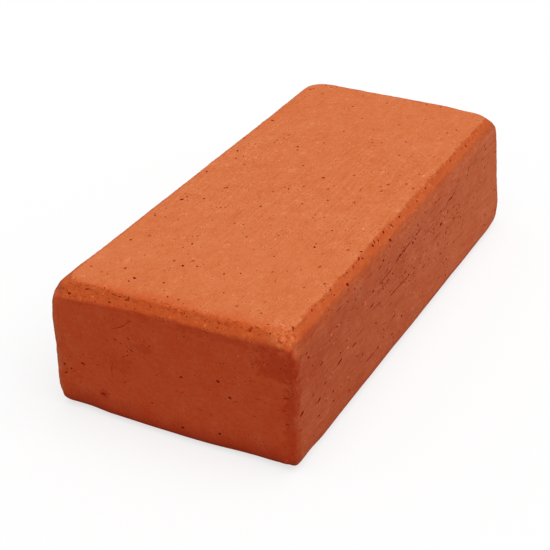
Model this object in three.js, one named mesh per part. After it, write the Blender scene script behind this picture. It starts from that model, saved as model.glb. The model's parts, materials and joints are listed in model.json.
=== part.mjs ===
// A solid clay brick of the common 250 x 120 x 65 mm format, lying on its lower bed.
//
// Millimetres, +Z up. +X runs along the two long side faces (the stretchers) and +Y
// along the two short end faces (the headers). The origin is the middle of the lower
// bed. The upper bed keeps the broad chamfer that the mould gives it, and the
// stretchers lean in a little towards it, so that the brick leaves the mould. The lower
// bed ends in a rounded arris, and its four corners are worn rounder than the upright
// edges above them.
//
// The body is one loft. Each of its rings is a rounded rectangle that goes once round
// the brick, and the rings climb from the lower bed, up the four side faces and over the
// chamfer to the upper bed. Headers and stretchers have profiles of their own, so a
// ring changes height a little on its way round every corner.

import * as THREE from 'three';

// Overall size. The width is the greatest one, where the lower arris ends.
const LENGTH = 250;
const WIDTH = 120;
const HEIGHT = 65;

// The chamfer round the upper bed: how far it reaches in over the bed and down the face.
const HEADER_CHAMFER = { inset: 3.5, drop: 5.2 };
const STRETCHER_CHAMFER = { inset: 5.2, drop: 5 };
const SHOULDER_RADIUS = 2.5; // rounding where the chamfer meets the side face
const BROW_RADIUS = 2.2; // rounding where the chamfer meets the upper bed
const UPPER_BED_CORNER_RADIUS = 12; // corner of the upper bed, seen from above

// How far each face leans in over the whole height.
const HEADER_LEAN = 0;
const STRETCHER_LEAN = 2.6;

// The arris round the lower bed, and how far past it the wear climbs the upright edges.
const LOWER_ARRIS_RADIUS = 6;
const FOOT_WEAR_CLIMB = 7.5;

// The four corners in the order that a ring passes them, seen from above and turning
// anticlockwise. upright is the radius of the upright edge, and foot holds the two radii
// to which wear has opened it at the lower bed, along the stretcher and the header.
const CORNERS = [
  { alongX: 1, alongY: 1, upright: 5, foot: { x: 7, y: 7 } },
  { alongX: -1, alongY: 1, upright: 2, foot: { x: 9, y: 13 } },
  { alongX: -1, alongY: -1, upright: 1.2, foot: { x: 10.5, y: 11.5 } },
  { alongX: 1, alongY: -1, upright: 7, foot: { x: 9.5, y: 7.5 } },
];

// How finely the curves are divided.
const CORNER_STEPS = 12;
const FILLET_STEPS = 5;
const FOOT_STEPS = 4;

const CLAY = { color: 0xc0623c, roughness: 0.9, metalness: 0 };

/** Points of the arc that rounds the bend at `corner` between `before` and `after`. */
function filletPoints(before, corner, after, radius) {
  const towardsBefore = before.clone().sub(corner).normalize();
  const towardsAfter = after.clone().sub(corner).normalize();
  const halfAngle = Math.acos(towardsBefore.dot(towardsAfter)) / 2;
  const room = Math.min(before.distanceTo(corner), after.distanceTo(corner)) / 2;
  const setback = Math.min(radius / Math.tan(halfAngle), room);
  const start = corner.clone().addScaledVector(towardsBefore, setback);
  const end = corner.clone().addScaledVector(towardsAfter, setback);
  const bisector = towardsBefore.clone().add(towardsAfter).normalize();
  const centre = corner.clone().addScaledVector(bisector, setback / Math.cos(halfAngle));
  const startSpoke = start.clone().sub(centre);
  const difference = end.clone().sub(centre).angle() - startSpoke.angle();
  const turn = Math.atan2(Math.sin(difference), Math.cos(difference));
  const points = [];
  for (let step = 0; step <= FILLET_STEPS; step += 1) {
    const spoke = startSpoke.clone().rotateAround(new THREE.Vector2(), (turn * step) / FILLET_STEPS);
    points.push(spoke.add(centre));
  }
  return points;
}

/**
 * The profile of one side of the brick, from the lower bed up to the upper bed. A
 * point's x is its inset from the foot of the face and its y is its height.
 */
function sideProfile(chamfer, lean) {
  const leanAngle = Math.atan(lean / HEIGHT);
  const arrisTop = LOWER_ARRIS_RADIUS * (1 + Math.sin(leanAngle));
  const onFace = (height) => new THREE.Vector2(Math.tan(leanAngle) * (height - arrisTop), height);
  const foot = onFace(0);
  const footWearTop = onFace(arrisTop + FOOT_WEAR_CLIMB);
  const shoulder = onFace(HEIGHT - chamfer.drop);
  const brow = new THREE.Vector2(shoulder.x + chamfer.inset, HEIGHT);
  const lowerBedAxis = new THREE.Vector2(WIDTH / 2, 0);
  const upperBedAxis = new THREE.Vector2(WIDTH / 2, HEIGHT);
  const arris = filletPoints(lowerBedAxis, foot, shoulder, LOWER_ARRIS_RADIUS);
  const wornStretch = [];
  for (let step = 1; step <= FOOT_STEPS; step += 1) {
    wornStretch.push(arris.at(-1).clone().lerp(footWearTop, step / FOOT_STEPS));
  }
  return [
    ...arris,
    ...wornStretch,
    ...filletPoints(foot, shoulder, brow, SHOULDER_RADIUS),
    ...filletPoints(shoulder, brow, upperBedAxis, BROW_RADIUS),
  ];
}

/** How much of the foot's wear is left at a height: all at the bed, none at its top. */
function footShare(height) {
  const wearTop = LOWER_ARRIS_RADIUS + FOOT_WEAR_CLIMB;
  return (1 - THREE.MathUtils.clamp(height / wearTop, 0, 1)) ** 2;
}

/** How far a corner has opened to the upper bed's radius at a height on the header. */
function bedShare(height) {
  const chamferStart = HEIGHT - HEADER_CHAMFER.drop - SHOULDER_RADIUS;
  return THREE.MathUtils.clamp((height - chamferStart) / (HEIGHT - chamferStart), 0, 1) ** 2;
}

/** The rings' levels, each with a point of the header's and of the stretcher's profile. */
function loftLevels() {
  const header = sideProfile(HEADER_CHAMFER, HEADER_LEAN);
  const stretcher = sideProfile(STRETCHER_CHAMFER, STRETCHER_LEAN);
  return header.map((point, index) => ({
    header: point,
    stretcher: stretcher[index],
    footShare: footShare(point.y),
    bedShare: bedShare(point.y),
  }));
}

/** A corner's radius along one axis at a level, from its foot over its edge to the bed. */
function cornerRadius(upright, foot, level) {
  const worn = THREE.MathUtils.lerp(upright, foot, level.footShare);
  return THREE.MathUtils.lerp(worn, UPPER_BED_CORNER_RADIUS, level.bedShare);
}

/** One ring of the loft: a rounded rectangle whose height follows both profiles. */
function ringPoints(level) {
  const points = [];
  CORNERS.forEach(({ alongX, alongY, upright, foot }, quarter) => {
    const radiusX = cornerRadius(upright, foot.x, level);
    const radiusY = cornerRadius(upright, foot.y, level);
    const centreX = alongX * (LENGTH / 2 - level.header.x - radiusX);
    const centreY = alongY * (WIDTH / 2 - level.stretcher.x - radiusY);
    for (let step = 0; step <= CORNER_STEPS; step += 1) {
      const angle = (quarter + step / CORNER_STEPS) * (Math.PI / 2);
      const towardsStretcher = Math.sin(angle) ** 2;
      points.push(new THREE.Vector3(
        centreX + radiusX * Math.cos(angle),
        centreY + radiusY * Math.sin(angle),
        THREE.MathUtils.lerp(level.header.y, level.stretcher.y, towardsStretcher),
      ));
    }
  });
  return points;
}

/** Joins the rings by bands of triangles and closes both ends with a flat bed. */
function loftGeometry(rings) {
  const ringSize = rings[0].length;
  const positions = rings.flat().flatMap((point) => point.toArray());
  const indices = [];
  for (let ring = 0; ring < rings.length - 1; ring += 1) {
    for (let side = 0; side < ringSize; side += 1) {
      const next = (side + 1) % ringSize;
      const below = ring * ringSize;
      const above = below + ringSize;
      indices.push(below + side, below + next, above + next);
      indices.push(below + side, above + next, above + side);
    }
  }
  const lowerBed = rings[0].map((point) => new THREE.Vector2(point.x, point.y));
  const upperBed = rings.at(-1).map((point) => new THREE.Vector2(point.x, point.y));
  const firstUpper = (rings.length - 1) * ringSize;
  for (const [a, b, c] of THREE.ShapeUtils.triangulateShape(lowerBed, [])) {
    indices.push(a, c, b);
  }
  for (const [a, b, c] of THREE.ShapeUtils.triangulateShape(upperBed, [])) {
    indices.push(firstUpper + a, firstUpper + b, firstUpper + c);
  }
  const geometry = new THREE.BufferGeometry();
  geometry.setAttribute('position', new THREE.Float32BufferAttribute(positions, 3));
  geometry.setIndex(indices);
  geometry.computeVertexNormals();
  return geometry;
}

/** The fired clay body. */
function buildBrick() {
  const rings = loftLevels().map(ringPoints);
  const brick = new THREE.Mesh(loftGeometry(rings), new THREE.MeshStandardMaterial(CLAY));
  brick.name = 'brick';
  return brick;
}

const clayBrick = new THREE.Group();
clayBrick.add(buildBrick());

export default clayBrick;
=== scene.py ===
"""A solid fired clay brick, as one detailed piece that stands for the part's own solid.

Every size is a named value in millimetres, and turns into metres where a mesh is made.
+X runs along the stretchers, +Y along the headers and +Z up, and the origin is the
middle of the lower bed.
"""

import json
import logging
import math
import random
from dataclasses import dataclass, field
from enum import Enum
from typing import Callable, ClassVar

import bpy
import numpy as np
from bpy.types import ID, Material, Modifier, Node, NodeSocket, NodeTree, Object
from mathutils import Euler, Matrix, Vector, noise
from mathutils.bvhtree import BVHTree

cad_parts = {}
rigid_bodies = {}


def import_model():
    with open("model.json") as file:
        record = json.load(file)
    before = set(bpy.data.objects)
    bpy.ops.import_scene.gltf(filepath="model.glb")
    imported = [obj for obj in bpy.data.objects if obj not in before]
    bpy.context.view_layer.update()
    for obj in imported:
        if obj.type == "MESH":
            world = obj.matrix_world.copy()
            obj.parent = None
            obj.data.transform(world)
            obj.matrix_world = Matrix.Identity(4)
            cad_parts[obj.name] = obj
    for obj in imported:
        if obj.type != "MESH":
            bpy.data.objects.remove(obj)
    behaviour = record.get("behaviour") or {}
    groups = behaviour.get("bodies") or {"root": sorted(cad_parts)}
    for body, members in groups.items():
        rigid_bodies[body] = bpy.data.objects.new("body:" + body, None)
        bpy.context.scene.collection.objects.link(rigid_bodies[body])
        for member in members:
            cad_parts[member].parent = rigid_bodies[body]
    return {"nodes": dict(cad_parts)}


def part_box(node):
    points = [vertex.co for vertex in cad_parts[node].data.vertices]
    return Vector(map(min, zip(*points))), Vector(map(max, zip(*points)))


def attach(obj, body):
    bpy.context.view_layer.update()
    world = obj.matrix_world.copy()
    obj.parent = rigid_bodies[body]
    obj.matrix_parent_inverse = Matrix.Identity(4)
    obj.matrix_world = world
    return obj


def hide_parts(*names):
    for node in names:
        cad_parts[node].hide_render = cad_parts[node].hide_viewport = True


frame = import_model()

MM = 0.001
WELD_DISTANCE = 0.001
LOG = logging.getLogger("brick")

Colour = tuple[float, float, float]
Place = tuple[float, float, float]
# The two ends of a range, or the two coordinates of a spot on a face.
Pair = tuple[float, float]


# ---- small helpers


def select_only(*objects: Object) -> None:
    """Selects these objects and nothing else, and makes the first one active.

    Args:
        objects: the objects.
    """
    bpy.ops.object.select_all(action="DESELECT")
    for item in objects:
        item.select_set(True)
    bpy.context.view_layer.objects.active = objects[0]


def apply_modifier(body: Object, modifier: Modifier) -> None:
    """Applies one modifier to a mesh.

    Args:
        body: the object that carries it.
        modifier: the modifier.
    """
    select_only(body)
    bpy.ops.object.modifier_apply(modifier=modifier.name)


def remove_object(item: Object) -> None:
    """Deletes a helper object."""
    select_only(item)
    bpy.ops.object.delete()


def add_object(add: Callable[..., object], name: str, **settings: object) -> Object:
    """Adds one object, with nothing else selected.

    Args:
        add: the operator that adds it.
        name: its name.
        settings: values for the operator.

    Returns:
        The object.
    """
    bpy.ops.object.select_all(action="DESELECT")
    add(**settings)
    item = bpy.context.active_object
    item.name = name
    return item


def show_data(name: str, data: ID) -> Object:
    """Puts a mesh or a curve into the scene, as an object of this name.

    Args:
        name: its name.
        data: the mesh or curve.

    Returns:
        The object.
    """
    item = bpy.data.objects.new(name, data)
    bpy.context.collection.objects.link(item)
    return item


def weld(body: Object) -> None:
    """Merges the points of a mesh that lie on each other, and leaves all of it selected.

    Args:
        body: the mesh object.
    """
    select_only(body)
    bpy.ops.object.mode_set(mode="EDIT")
    bpy.ops.mesh.select_all(action="SELECT")
    bpy.ops.mesh.remove_doubles(threshold=WELD_DISTANCE * MM)
    bpy.ops.object.mode_set(mode="OBJECT")


def edit_at(body: Object, numbers: np.ndarray) -> None:
    """Opens a mesh for editing, with only some of its points selected.

    Args:
        body: the mesh object.
        numbers: the numbers of the points.
    """
    select_only(body)
    bpy.ops.object.mode_set(mode="EDIT")
    bpy.ops.mesh.select_mode(type="VERT")
    bpy.ops.mesh.select_all(action="DESELECT")
    bpy.ops.object.mode_set(mode="OBJECT")
    chosen = np.zeros(len(body.data.vertices), dtype=bool)
    chosen[numbers] = True
    body.data.vertices.foreach_set("select", chosen)
    bpy.ops.object.mode_set(mode="EDIT")


def edge_ends(body: Object) -> np.ndarray:
    """The numbers of the two points of each edge of a mesh, one row an edge.

    Args:
        body: the mesh object.

    Returns:
        The numbers.
    """
    ends = np.empty(len(body.data.edges) * 2, dtype=np.int32)
    body.data.edges.foreach_get("vertices", ends)
    return ends.reshape(-1, 2)


def keep_values(body: Object, name: str, domain: str, values: np.ndarray) -> None:
    """Keeps a number for each point or corner of a mesh, as an attribute."""
    layer = body.data.attributes.new(name, "FLOAT", domain)
    layer.data.foreach_set("value", values.astype(np.float32))


def vertex_places(body: Object) -> np.ndarray:
    """The places of a mesh's vertices.

    Args:
        body: the mesh object.

    Returns:
        One row a vertex, in millimetres.
    """
    flat = np.empty(len(body.data.vertices) * 3)
    body.data.vertices.foreach_get("co", flat)
    return flat.reshape(-1, 3) / MM


def set_vertex_places(body: Object, places: np.ndarray) -> None:
    """Moves a mesh's vertices to these places, in millimetres."""
    body.data.vertices.foreach_set("co", (places * MM).ravel())
    body.data.update()


def smooth_step(low: float, high: float, value: np.ndarray) -> np.ndarray:
    """Climbs smoothly from 0 at low to 1 at high.

    Args:
        low: the value that gives 0.
        high: the value that gives 1. It may be the smaller one.
        value: the values to map.

    Returns:
        The mapped values, between 0 and 1.
    """
    share = np.clip((value - low) / (high - low), 0.0, 1.0)
    return share * share * (3.0 - 2.0 * share)


def hump(value: np.ndarray, middle: float, width: float) -> np.ndarray:
    """A smooth hump, which is 1 in its middle and dies away over its width."""
    return np.exp(-((value - middle) / width) ** 2)


def inside_rounded_rectangle(
    places: np.ndarray, half_x: float, half_y: float, radius: float
) -> np.ndarray:
    """How far inside a rounded rectangle each place lies, seen from above.

    Args:
        places: one row a place, in millimetres.
        half_x: half the rectangle's size along X.
        half_y: half the rectangle's size along Y.
        radius: its corner radius.

    Returns:
        The distance to the outline: above zero inside it, below zero outside.
    """
    over_x = np.abs(places[:, 0]) - (half_x - radius)
    over_y = np.abs(places[:, 1]) - (half_y - radius)
    outside = np.hypot(np.maximum(over_x, 0.0), np.maximum(over_y, 0.0))
    inside = np.minimum(np.maximum(over_x, over_y), 0.0)
    return radius - outside - inside


def ragged_noise(places: np.ndarray, *waves: Pair) -> list[np.ndarray]:
    """Smooth random waves.

    Args:
        places: one row a place, in millimetres.
        waves: for each kind of wave its size and its height, in millimetres.

    Returns:
        For each kind of wave, one value a place.
    """
    return [
        np.array([noise.noise(place) for place in (places / size).tolist()]) * height
        for size, height in waves
    ]


# ---- marks in the clay


class Face(Enum):
    """A face of the brick, as (the way it faces, its first axis, its second axis)."""

    UPPER_BED = ((0, 0, 1), 0, 1)
    LOWER_BED = ((0, 0, -1), 0, 1)
    NEAR_STRETCHER = ((0, -1, 0), 0, 2)
    FAR_STRETCHER = ((0, 1, 0), 0, 2)
    NEAR_HEADER = ((-1, 0, 0), 1, 2)
    FAR_HEADER = ((1, 0, 0), 1, 2)

    def point_over(self, first: float, second: float, middle: Place) -> Vector:
        """A point out in front of the face.

        Args:
            first: the point's coordinate on the face's first axis, in millimetres.
            second: its coordinate on the second axis.
            middle: the middle of the brick.

        Returns:
            The point, in metres.
        """
        outward, first_axis, second_axis = self.value
        point = [middle[i] + outward[i] * FACE_STAND_OFF for i in range(3)]
        point[first_axis] = first
        point[second_axis] = second
        return Vector(point) * MM

    def outward(self) -> Vector:
        """The way that the face looks."""
        return Vector(self.value[0])

    def along(self) -> Vector:
        """The face's first axis."""
        return Vector([float(i == self.value[1]) for i in range(3)])


FACE_STAND_OFF = 200.0


@dataclass(frozen=True)
class Pit:
    """One pit, slit or nick of its own, placed on a face and sized in millimetres.

    turn is its angle on the face in degrees, from the face's first axis.
    """

    face: Face
    first: float
    second: float
    length: float
    width: float
    depth: float
    turn: float = 0.0


@dataclass(frozen=True)
class SmallPits:
    """Small pits of nearly one size on a face, with the places of their middles.

    width is their mean width in millimetres and stretch their length over their width.
    """

    face: Face
    width: float
    stretch: float
    places: tuple[Pair, ...]


@dataclass(frozen=True)
class Crumb:
    """One crumb of clay that was pressed on, which stands up by its height."""

    face: Face
    first: float
    second: float
    length: float
    width: float
    height: float
    turn: float = 0.0


@dataclass(frozen=True)
class PoreField:
    """Pores that are strewn over a stretch of a face, or along its brow."""

    face: Face
    first: Pair
    second: Pair
    count: int
    smallest: float
    largest: float
    stretch: float = 1.0
    on_brow: bool = False


@dataclass(frozen=True)
class Patch:
    """A small disturbed patch, where crumbs and little pits crowd together."""

    face: Face
    first: float
    second: float
    reach: float
    crumbs: int
    pits: int


@dataclass(frozen=True)
class Groove:
    """A scratch or a drag line, drawn as a bent line from its start to its end."""

    face: Face
    start: Pair
    bend: Pair
    end: Pair
    width: float
    depth: float


@dataclass(frozen=True)
class GrooveField:
    """Drag lines that are strewn over a stretch of a face.

    turn is their angle on the face in degrees, and spread how far it varies.
    """

    face: Face
    first: Pair
    second: Pair
    count: int
    length: Pair
    width: Pair
    turn: float = 0.0
    spread: float = 3.0


def marks_on(kind: type, rows: dict[Face, tuple[tuple, ...]]) -> tuple:
    """Makes marks of one kind.

    Args:
        kind: the class of the marks.
        rows: each mark's values after its face, in the class's order, by the face.

    Returns:
        The marks, in the order of the rows.
    """
    return tuple(kind(face, *row) for face, marks in rows.items() for row in marks)


NAMED_PITS = marks_on(Pit, {
    Face.UPPER_BED: (
        (-91.2, 12.1, 2.0, 1.6, 1.3, 20), (-107.0, 12.0, 1.5, 1.2, 1.0),
        (-108.6, 25.4, 2.6, 1.3, 1.1, 70), (-111.8, 26.1, 1.6, 1.1, 0.9, 30),
        (-80.2, 45.3, 1.5, 1.3, 1.0), (-56.6, -0.3, 1.4, 1.1, 0.9),
        (-52.3, -31.7, 2.3, 1.1, 0.9, 40), (12.3, -5.6, 2.2, 1.6, 1.3, -30),
        (-8.6, -17.8, 1.8, 1.1, 0.9, 60), (39.0, 21.6, 2.2, 1.6, 1.2, -35),
        (35.7, 20.2, 1.9, 1.1, 0.9, -20), (11.2, -36.9, 2.0, 1.0, 0.8, -45),
        (-36.6, 44.9, 2.8, 1.8, 1.4, -25), (-33.0, 44.2, 1.6, 1.0, 0.8, 45),
        (-19.2, 12.8, 1.3, 1.1, 0.9), (-46.6, 6.6, 1.3, 1.1, 0.9), (21.8, 47.2, 2.2, 1.4, 1.0, 20),
        (62.9, 48.7, 3.2, 1.3, 0.9, 80), (107.0, 40.3, 1.5, 1.2, 0.9),
        (109.6, 49.4, 2.4, 1.2, 0.8, -50), (-5.4, 49.3, 2.0, 1.2, 0.8, 30),
        # Chamfer and brow over the near stretcher.
        (-25.4, -53.1, 2.3, 1.6, 1.1, 20), (-7.4, -53.5, 2.3, 1.1, 0.9, 10),
        (-16.9, -53.2, 1.9, 1.1, 0.8, 20), (-32.7, -53.7, 2.1, 1.2, 1.0, 40),
        (-38.2, -53.4, 2.0, 1.4, 1.0, 30), (-47.4, -51.8, 2.2, 1.1, 0.7, -30),
        (-50.3, -53.7, 1.8, 1.0, 0.6), (-59.6, -53.4, 2.4, 0.8, 0.45, 25),
        (-65.8, -53.2, 2.0, 0.8, 0.45, 25), (-25.7, -56.6, 2.1, 1.8, 1.3, 10),
        (-70.9, -55.9, 2.3, 1.9, 1.4), (-100.1, -52.9, 2.2, 1.0, 0.5, 10),
        # Chamfer and brow over the near header.
        (-123.6, 48.5, 2.4, 1.3, 0.9, 80), (-121.8, 40.3, 3.2, 0.8, 0.4, 100),
        (-121.9, 27.2, 2.8, 0.7, 0.35, 85), (-122.2, 24.2, 2.2, 0.8, 0.4, 95),
        (-122.5, 20.6, 3.6, 0.9, 0.45, 88), (-122.0, -2.7, 3.0, 0.6, 0.3, 94),
        (-122.8, 9.0, 1.4, 0.9, 0.6), (-121.4, -10.4, 1.2, 0.8, 0.5),
        (-122.7, -22.8, 1.9, 0.7, 0.4, 90), (-123.9, -22.8, 1.1, 0.8, 0.5),
        (-122.0, -37.2, 1.9, 0.7, 0.4, 60), (-122.3, -45.5, 1.2, 0.9, 0.6),
    ),
    Face.NEAR_STRETCHER: (
        (-84.4, 31.3, 6.6, 1.6, 1.6, 6), (-120.5, 27.6, 4.4, 1.9, 1.7, 12),
        (-104.8, 24.4, 3.6, 1.3, 1.1, 12), (-75.0, 10.8, 2.2, 1.5, 1.2),
        (-101.6, 40.9, 3.2, 1.4, 1.2, 20), (-27.7, 12.6, 2.4, 1.3, 1.0),
        (-6.4, 49.6, 3.0, 1.1, 0.9, 2), (-13.4, 49.5, 3.6, 1.4, 1.1, 2),
        (-20.6, 48.7, 2.8, 1.2, 0.9, 8), (-39.6, 46.7, 2.6, 1.0, 0.8, 2),
        (-48.0, 46.5, 3.0, 1.2, 0.9, -2), (-10.2, 33.4, 2.4, 1.1, 0.8), (35.0, 40.4, 3.4, 2.2, 1.6),
        (33.7, 24.4, 2.4, 1.4, 1.1), (49.0, 48.3, 4.4, 1.3, 1.1), (44.6, 43.0, 3.0, 1.2, 1.0, 75),
        (41.6, 32.6, 3.0, 1.3, 1.1, 60), (-36.7, 56.4, 2.1, 1.5, 1.1), (-12.6, 51.2, 2.0, 1.3, 1.0),
        (-17.5, 49.5, 2.6, 1.2, 0.9), (-1.4, 47.9, 2.6, 1.9, 1.0), (-26.1, 44.3, 2.0, 1.4, 1.0),
        (-32.1, 43.8, 3.4, 1.2, 0.9, 15), (30.6, 31.7, 2.6, 1.3, 1.0, 40),
    ),
    Face.NEAR_HEADER: (
        (-5.4, 33.2, 1.8, 1.3, 1.0, 20), (-22.9, 36.1, 2.3, 1.6, 1.3, -30),
        (-28.4, 29.5, 2.1, 1.4, 1.1, -40), (-23.3, 9.8, 1.9, 1.4, 1.2),
        (-5.4, 7.8, 2.3, 1.4, 1.1, 30), (54.5, 23.1, 1.5, 1.3, 1.1), (51.2, 21.6, 1.6, 1.3, 1.0),
        (54.4, 18.6, 2.0, 1.0, 0.8, 30), (44.6, 26.0, 2.8, 1.6, 0.8, -20),
        (35.1, 12.8, 3.2, 1.4, 0.8, 5),
    ),
})

SMALL_PITS = marks_on(SmallPits, {
    Face.UPPER_BED: (
        (1.05, 1.3, (
            (23.3, -44.6), (79.3, -28.8), (49.1, 11.5), (-67.2, -19.5), (-17.4, 32.5),
            (-88.9, 17.7), (98.4, 17.7), (-32.4, -7.6), (-107.5, 47.8), (66.3, 8.3), (-109.6, 41.1),
            (-64.2, 40.9), (-65.2, -8.4), (-71.9, 27.7), (-103.0, 33.5), (-29.9, -21.4),
            (49.2, 18.1), (-37.3, 56.0),
        )),
        (0.85, 1.15, (
            (-122.5, 52.1), (-123.1, 49.8), (-124.3, 47.4), (-121.7, 44.7), (-121.7, 40.7),
            (-124.4, 35.2), (-121.3, 30.0), (-123.1, 29.3), (-122.0, 26.3), (-124.3, 15.7),
            (-118.2, -3.8), (-123.0, -8.1), (-122.9, -16.5), (-123.0, -18.7), (-121.1, -26.4),
            (-122.5, -32.9), (-121.1, -40.3), (-123.2, -41.1), (-122.5, -52.7),
        )),
    ),
    Face.NEAR_STRETCHER: (
        (1.15, 1.8, (
            (37.5, 17.2), (42.0, 17.2), (-0.6, 34.1), (5.2, 54.1), (-65.9, 47.6), (-75.4, 56.2),
            (-83.4, 35.3), (-91.3, 20.6), (-121.6, 20.4), (-16.3, 16.4), (-76.5, 37.5),
            (73.3, 50.6), (60.3, 39.5), (-110.0, 30.5), (-115.3, 53.7), (-75.0, 16.4),
            (-39.6, 34.4), (-37.2, 20.8), (-44.4, 37.5), (52.4, 21.9), (57.7, 36.0), (-114.0, 51.1),
            (-59.4, 46.2), (52.8, 35.6), (61.8, 31.8), (-6.9, 33.7), (1.7, 48.6), (-37.8, 45.4),
            (-43.9, 14.9), (-90.9, 15.4),
        )),
    ),
    Face.NEAR_HEADER: (
        (0.85, 1.2, (
            (17.0, 18.4), (9.6, 15.9), (37.0, 27.5), (30.7, 42.0), (26.1, 43.4), (9.5, 44.5),
            (-25.7, 45.8), (4.4, 33.2), (22.9, 35.6), (20.8, 37.0), (-19.4, 18.7), (43.9, 31.1),
            (24.5, 29.3), (22.9, 22.5), (51.0, 27.9), (-7.6, 53.6), (-57.2, 39.6), (-57.6, 47.5),
            (-56.2, 44.5), (-53.6, 52.5), (-51.5, 50.5), (-56.4, 6.8), (-45.6, 50.8), (-38.0, 40.6),
        )),
    ),
})

PORE_FIELDS = marks_on(PoreField, {
    Face.UPPER_BED: (
        ((-118, 118), (-50, 52), 170, 0.45, 1.2, 1.3),
        ((-112, 60), (-54, -51), 24, 0.5, 1.4, 1.4, True),
        ((60, 114), (-54, -51), 8, 0.4, 1.0, 1.4, True),
        ((-114, 114), (51, 54), 36, 0.4, 1.4, 1.4, True),
        ((120, 123), (-44, 44), 20, 0.4, 1.3, 1.0, True),
        ((-105, 110), (-59, -54), 18, 0.35, 0.9, 1.2), ((-105, 110), (54, 59), 18, 0.35, 0.9, 1.2),
    ),
    Face.LOWER_BED: (
        ((-115, 115), (-50, 50), 90, 0.5, 1.8, 1.2),
    ),
    Face.NEAR_STRETCHER: (
        # Pores that the drag of the mould drew into broken lines.
        ((-52, -10), (44, 48), 16, 0.5, 0.9, 1.9), ((-16, 12), (49, 53), 14, 0.5, 0.9, 1.9),
        ((-34, 6), (36, 42), 18, 0.5, 0.9, 1.9), ((28, 62), (34, 50), 20, 0.5, 1.0, 1.8),
        ((-112, 116), (8, 57), 90, 0.45, 1.2, 1.7),
    ),
    Face.FAR_STRETCHER: (
        ((-70, -20), (38, 43), 18, 0.5, 0.9, 1.9), ((10, 66), (24, 30), 20, 0.5, 0.9, 1.9),
        ((-116, 116), (8, 57), 90, 0.45, 1.5, 1.7),
    ),
    Face.NEAR_HEADER: (
        ((-52, 54), (8, 57), 50, 0.35, 0.8, 1.2),
    ),
    Face.FAR_HEADER: (
        ((-52, 52), (8, 57), 50, 0.4, 1.3, 1.2),
    ),
})

NAMED_CRUMBS = marks_on(Crumb, {
    Face.UPPER_BED: (
        # Flakes at the near upper corner.
        (-116.4, -47.6, 3.8, 1.4, 0.5, 69), (-118.8, -49.6, 3.4, 1.3, 0.45, 60),
        (-121.0, -49.2, 3.0, 1.4, 0.45, 80), (-123.2, -50.6, 2.4, 1.2, 0.4, 50),
        (-121.2, -54.0, 3.4, 1.3, 0.45, 20), (-117.8, -52.8, 2.6, 1.3, 0.4, -40),
        (-120.9, -39.4, 3.4, 1.4, 0.45, 75), (-121.2, -29.0, 2.6, 1.1, 0.4, 80),
        (-120.6, -19.5, 2.2, 1.0, 0.35, 75), (-121.2, -12.8, 1.8, 0.8, 0.3, 95),
        # Along the near chamfer.
        (-122.4, 32.0, 1.5, 0.9, 0.3, 80), (-121.9, 23.5, 1.3, 0.8, 0.3, 100),
    ),
    Face.NEAR_HEADER: (
        (-32.4, 51.2, 1.1, 0.8, 0.3), (-17.5, 56.2, 1.2, 0.8, 0.3, 60),
        (-54.6, 5.4, 2.2, 0.8, 0.35, 55),
    ),
    Face.NEAR_STRETCHER: (
        (-56.8, 45.1, 2.6, 0.8, 0.35, 70), (-55.0, 41.6, 2.2, 0.7, 0.3, 100),
        (38.2, 45.0, 1.8, 0.9, 0.35), (-84.2, 49.6, 1.6, 0.9, 0.35, -30),
    ),
})

PATCHES = marks_on(Patch, {
    Face.UPPER_BED: (
        (-34.0, 44.0, 4.0, 5, 5), (-38.4, 25.3, 4.5, 6, 6), (-16.1, 32.3, 5.0, 7, 7),
        (-44.3, -13.1, 6.0, 8, 9), (-4.0, 3.5, 5.0, 6, 7), (41.0, 31.0, 7.0, 12, 6),
        (22.0, 40.0, 6.0, 6, 5), (88.8, -41.0, 5.0, 9, 3), (-70.0, 20.0, 7.0, 6, 6),
        (60.0, -14.0, 6.0, 5, 6), (96.0, 18.0, 6.0, 5, 5), (-117.0, -46.0, 5.5, 8, 4),
        (-118.5, 34.0, 7.0, 7, 5), (-119.5, 4.0, 6.0, 4, 3), (117.0, 40.0, 6.0, 8, 8),
    ),
    Face.NEAR_STRETCHER: (
        (-24.0, 43.0, 9.0, 6, 14), (40.0, 38.0, 9.0, 5, 12), (-90.0, 47.0, 6.0, 5, 5),
        (-2.0, 30.0, 8.0, 4, 8),
    ),
    Face.FAR_STRETCHER: (
        (30.0, 40.0, 10.0, 8, 14), (-60.0, 25.0, 9.0, 6, 12), (85.0, 20.0, 7.0, 5, 8),
    ),
    Face.NEAR_HEADER: (
        (22.0, 41.0, 6.0, 1, 5), (52.0, 21.0, 4.0, 1, 5),
    ),
    Face.FAR_HEADER: (
        (-20.0, 38.0, 7.0, 4, 6), (30.0, 18.0, 6.0, 3, 5),
    ),
    Face.LOWER_BED: (
        (-60.0, 10.0, 12.0, 0, 14), (55.0, -18.0, 12.0, 0, 14),
    ),
})

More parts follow.
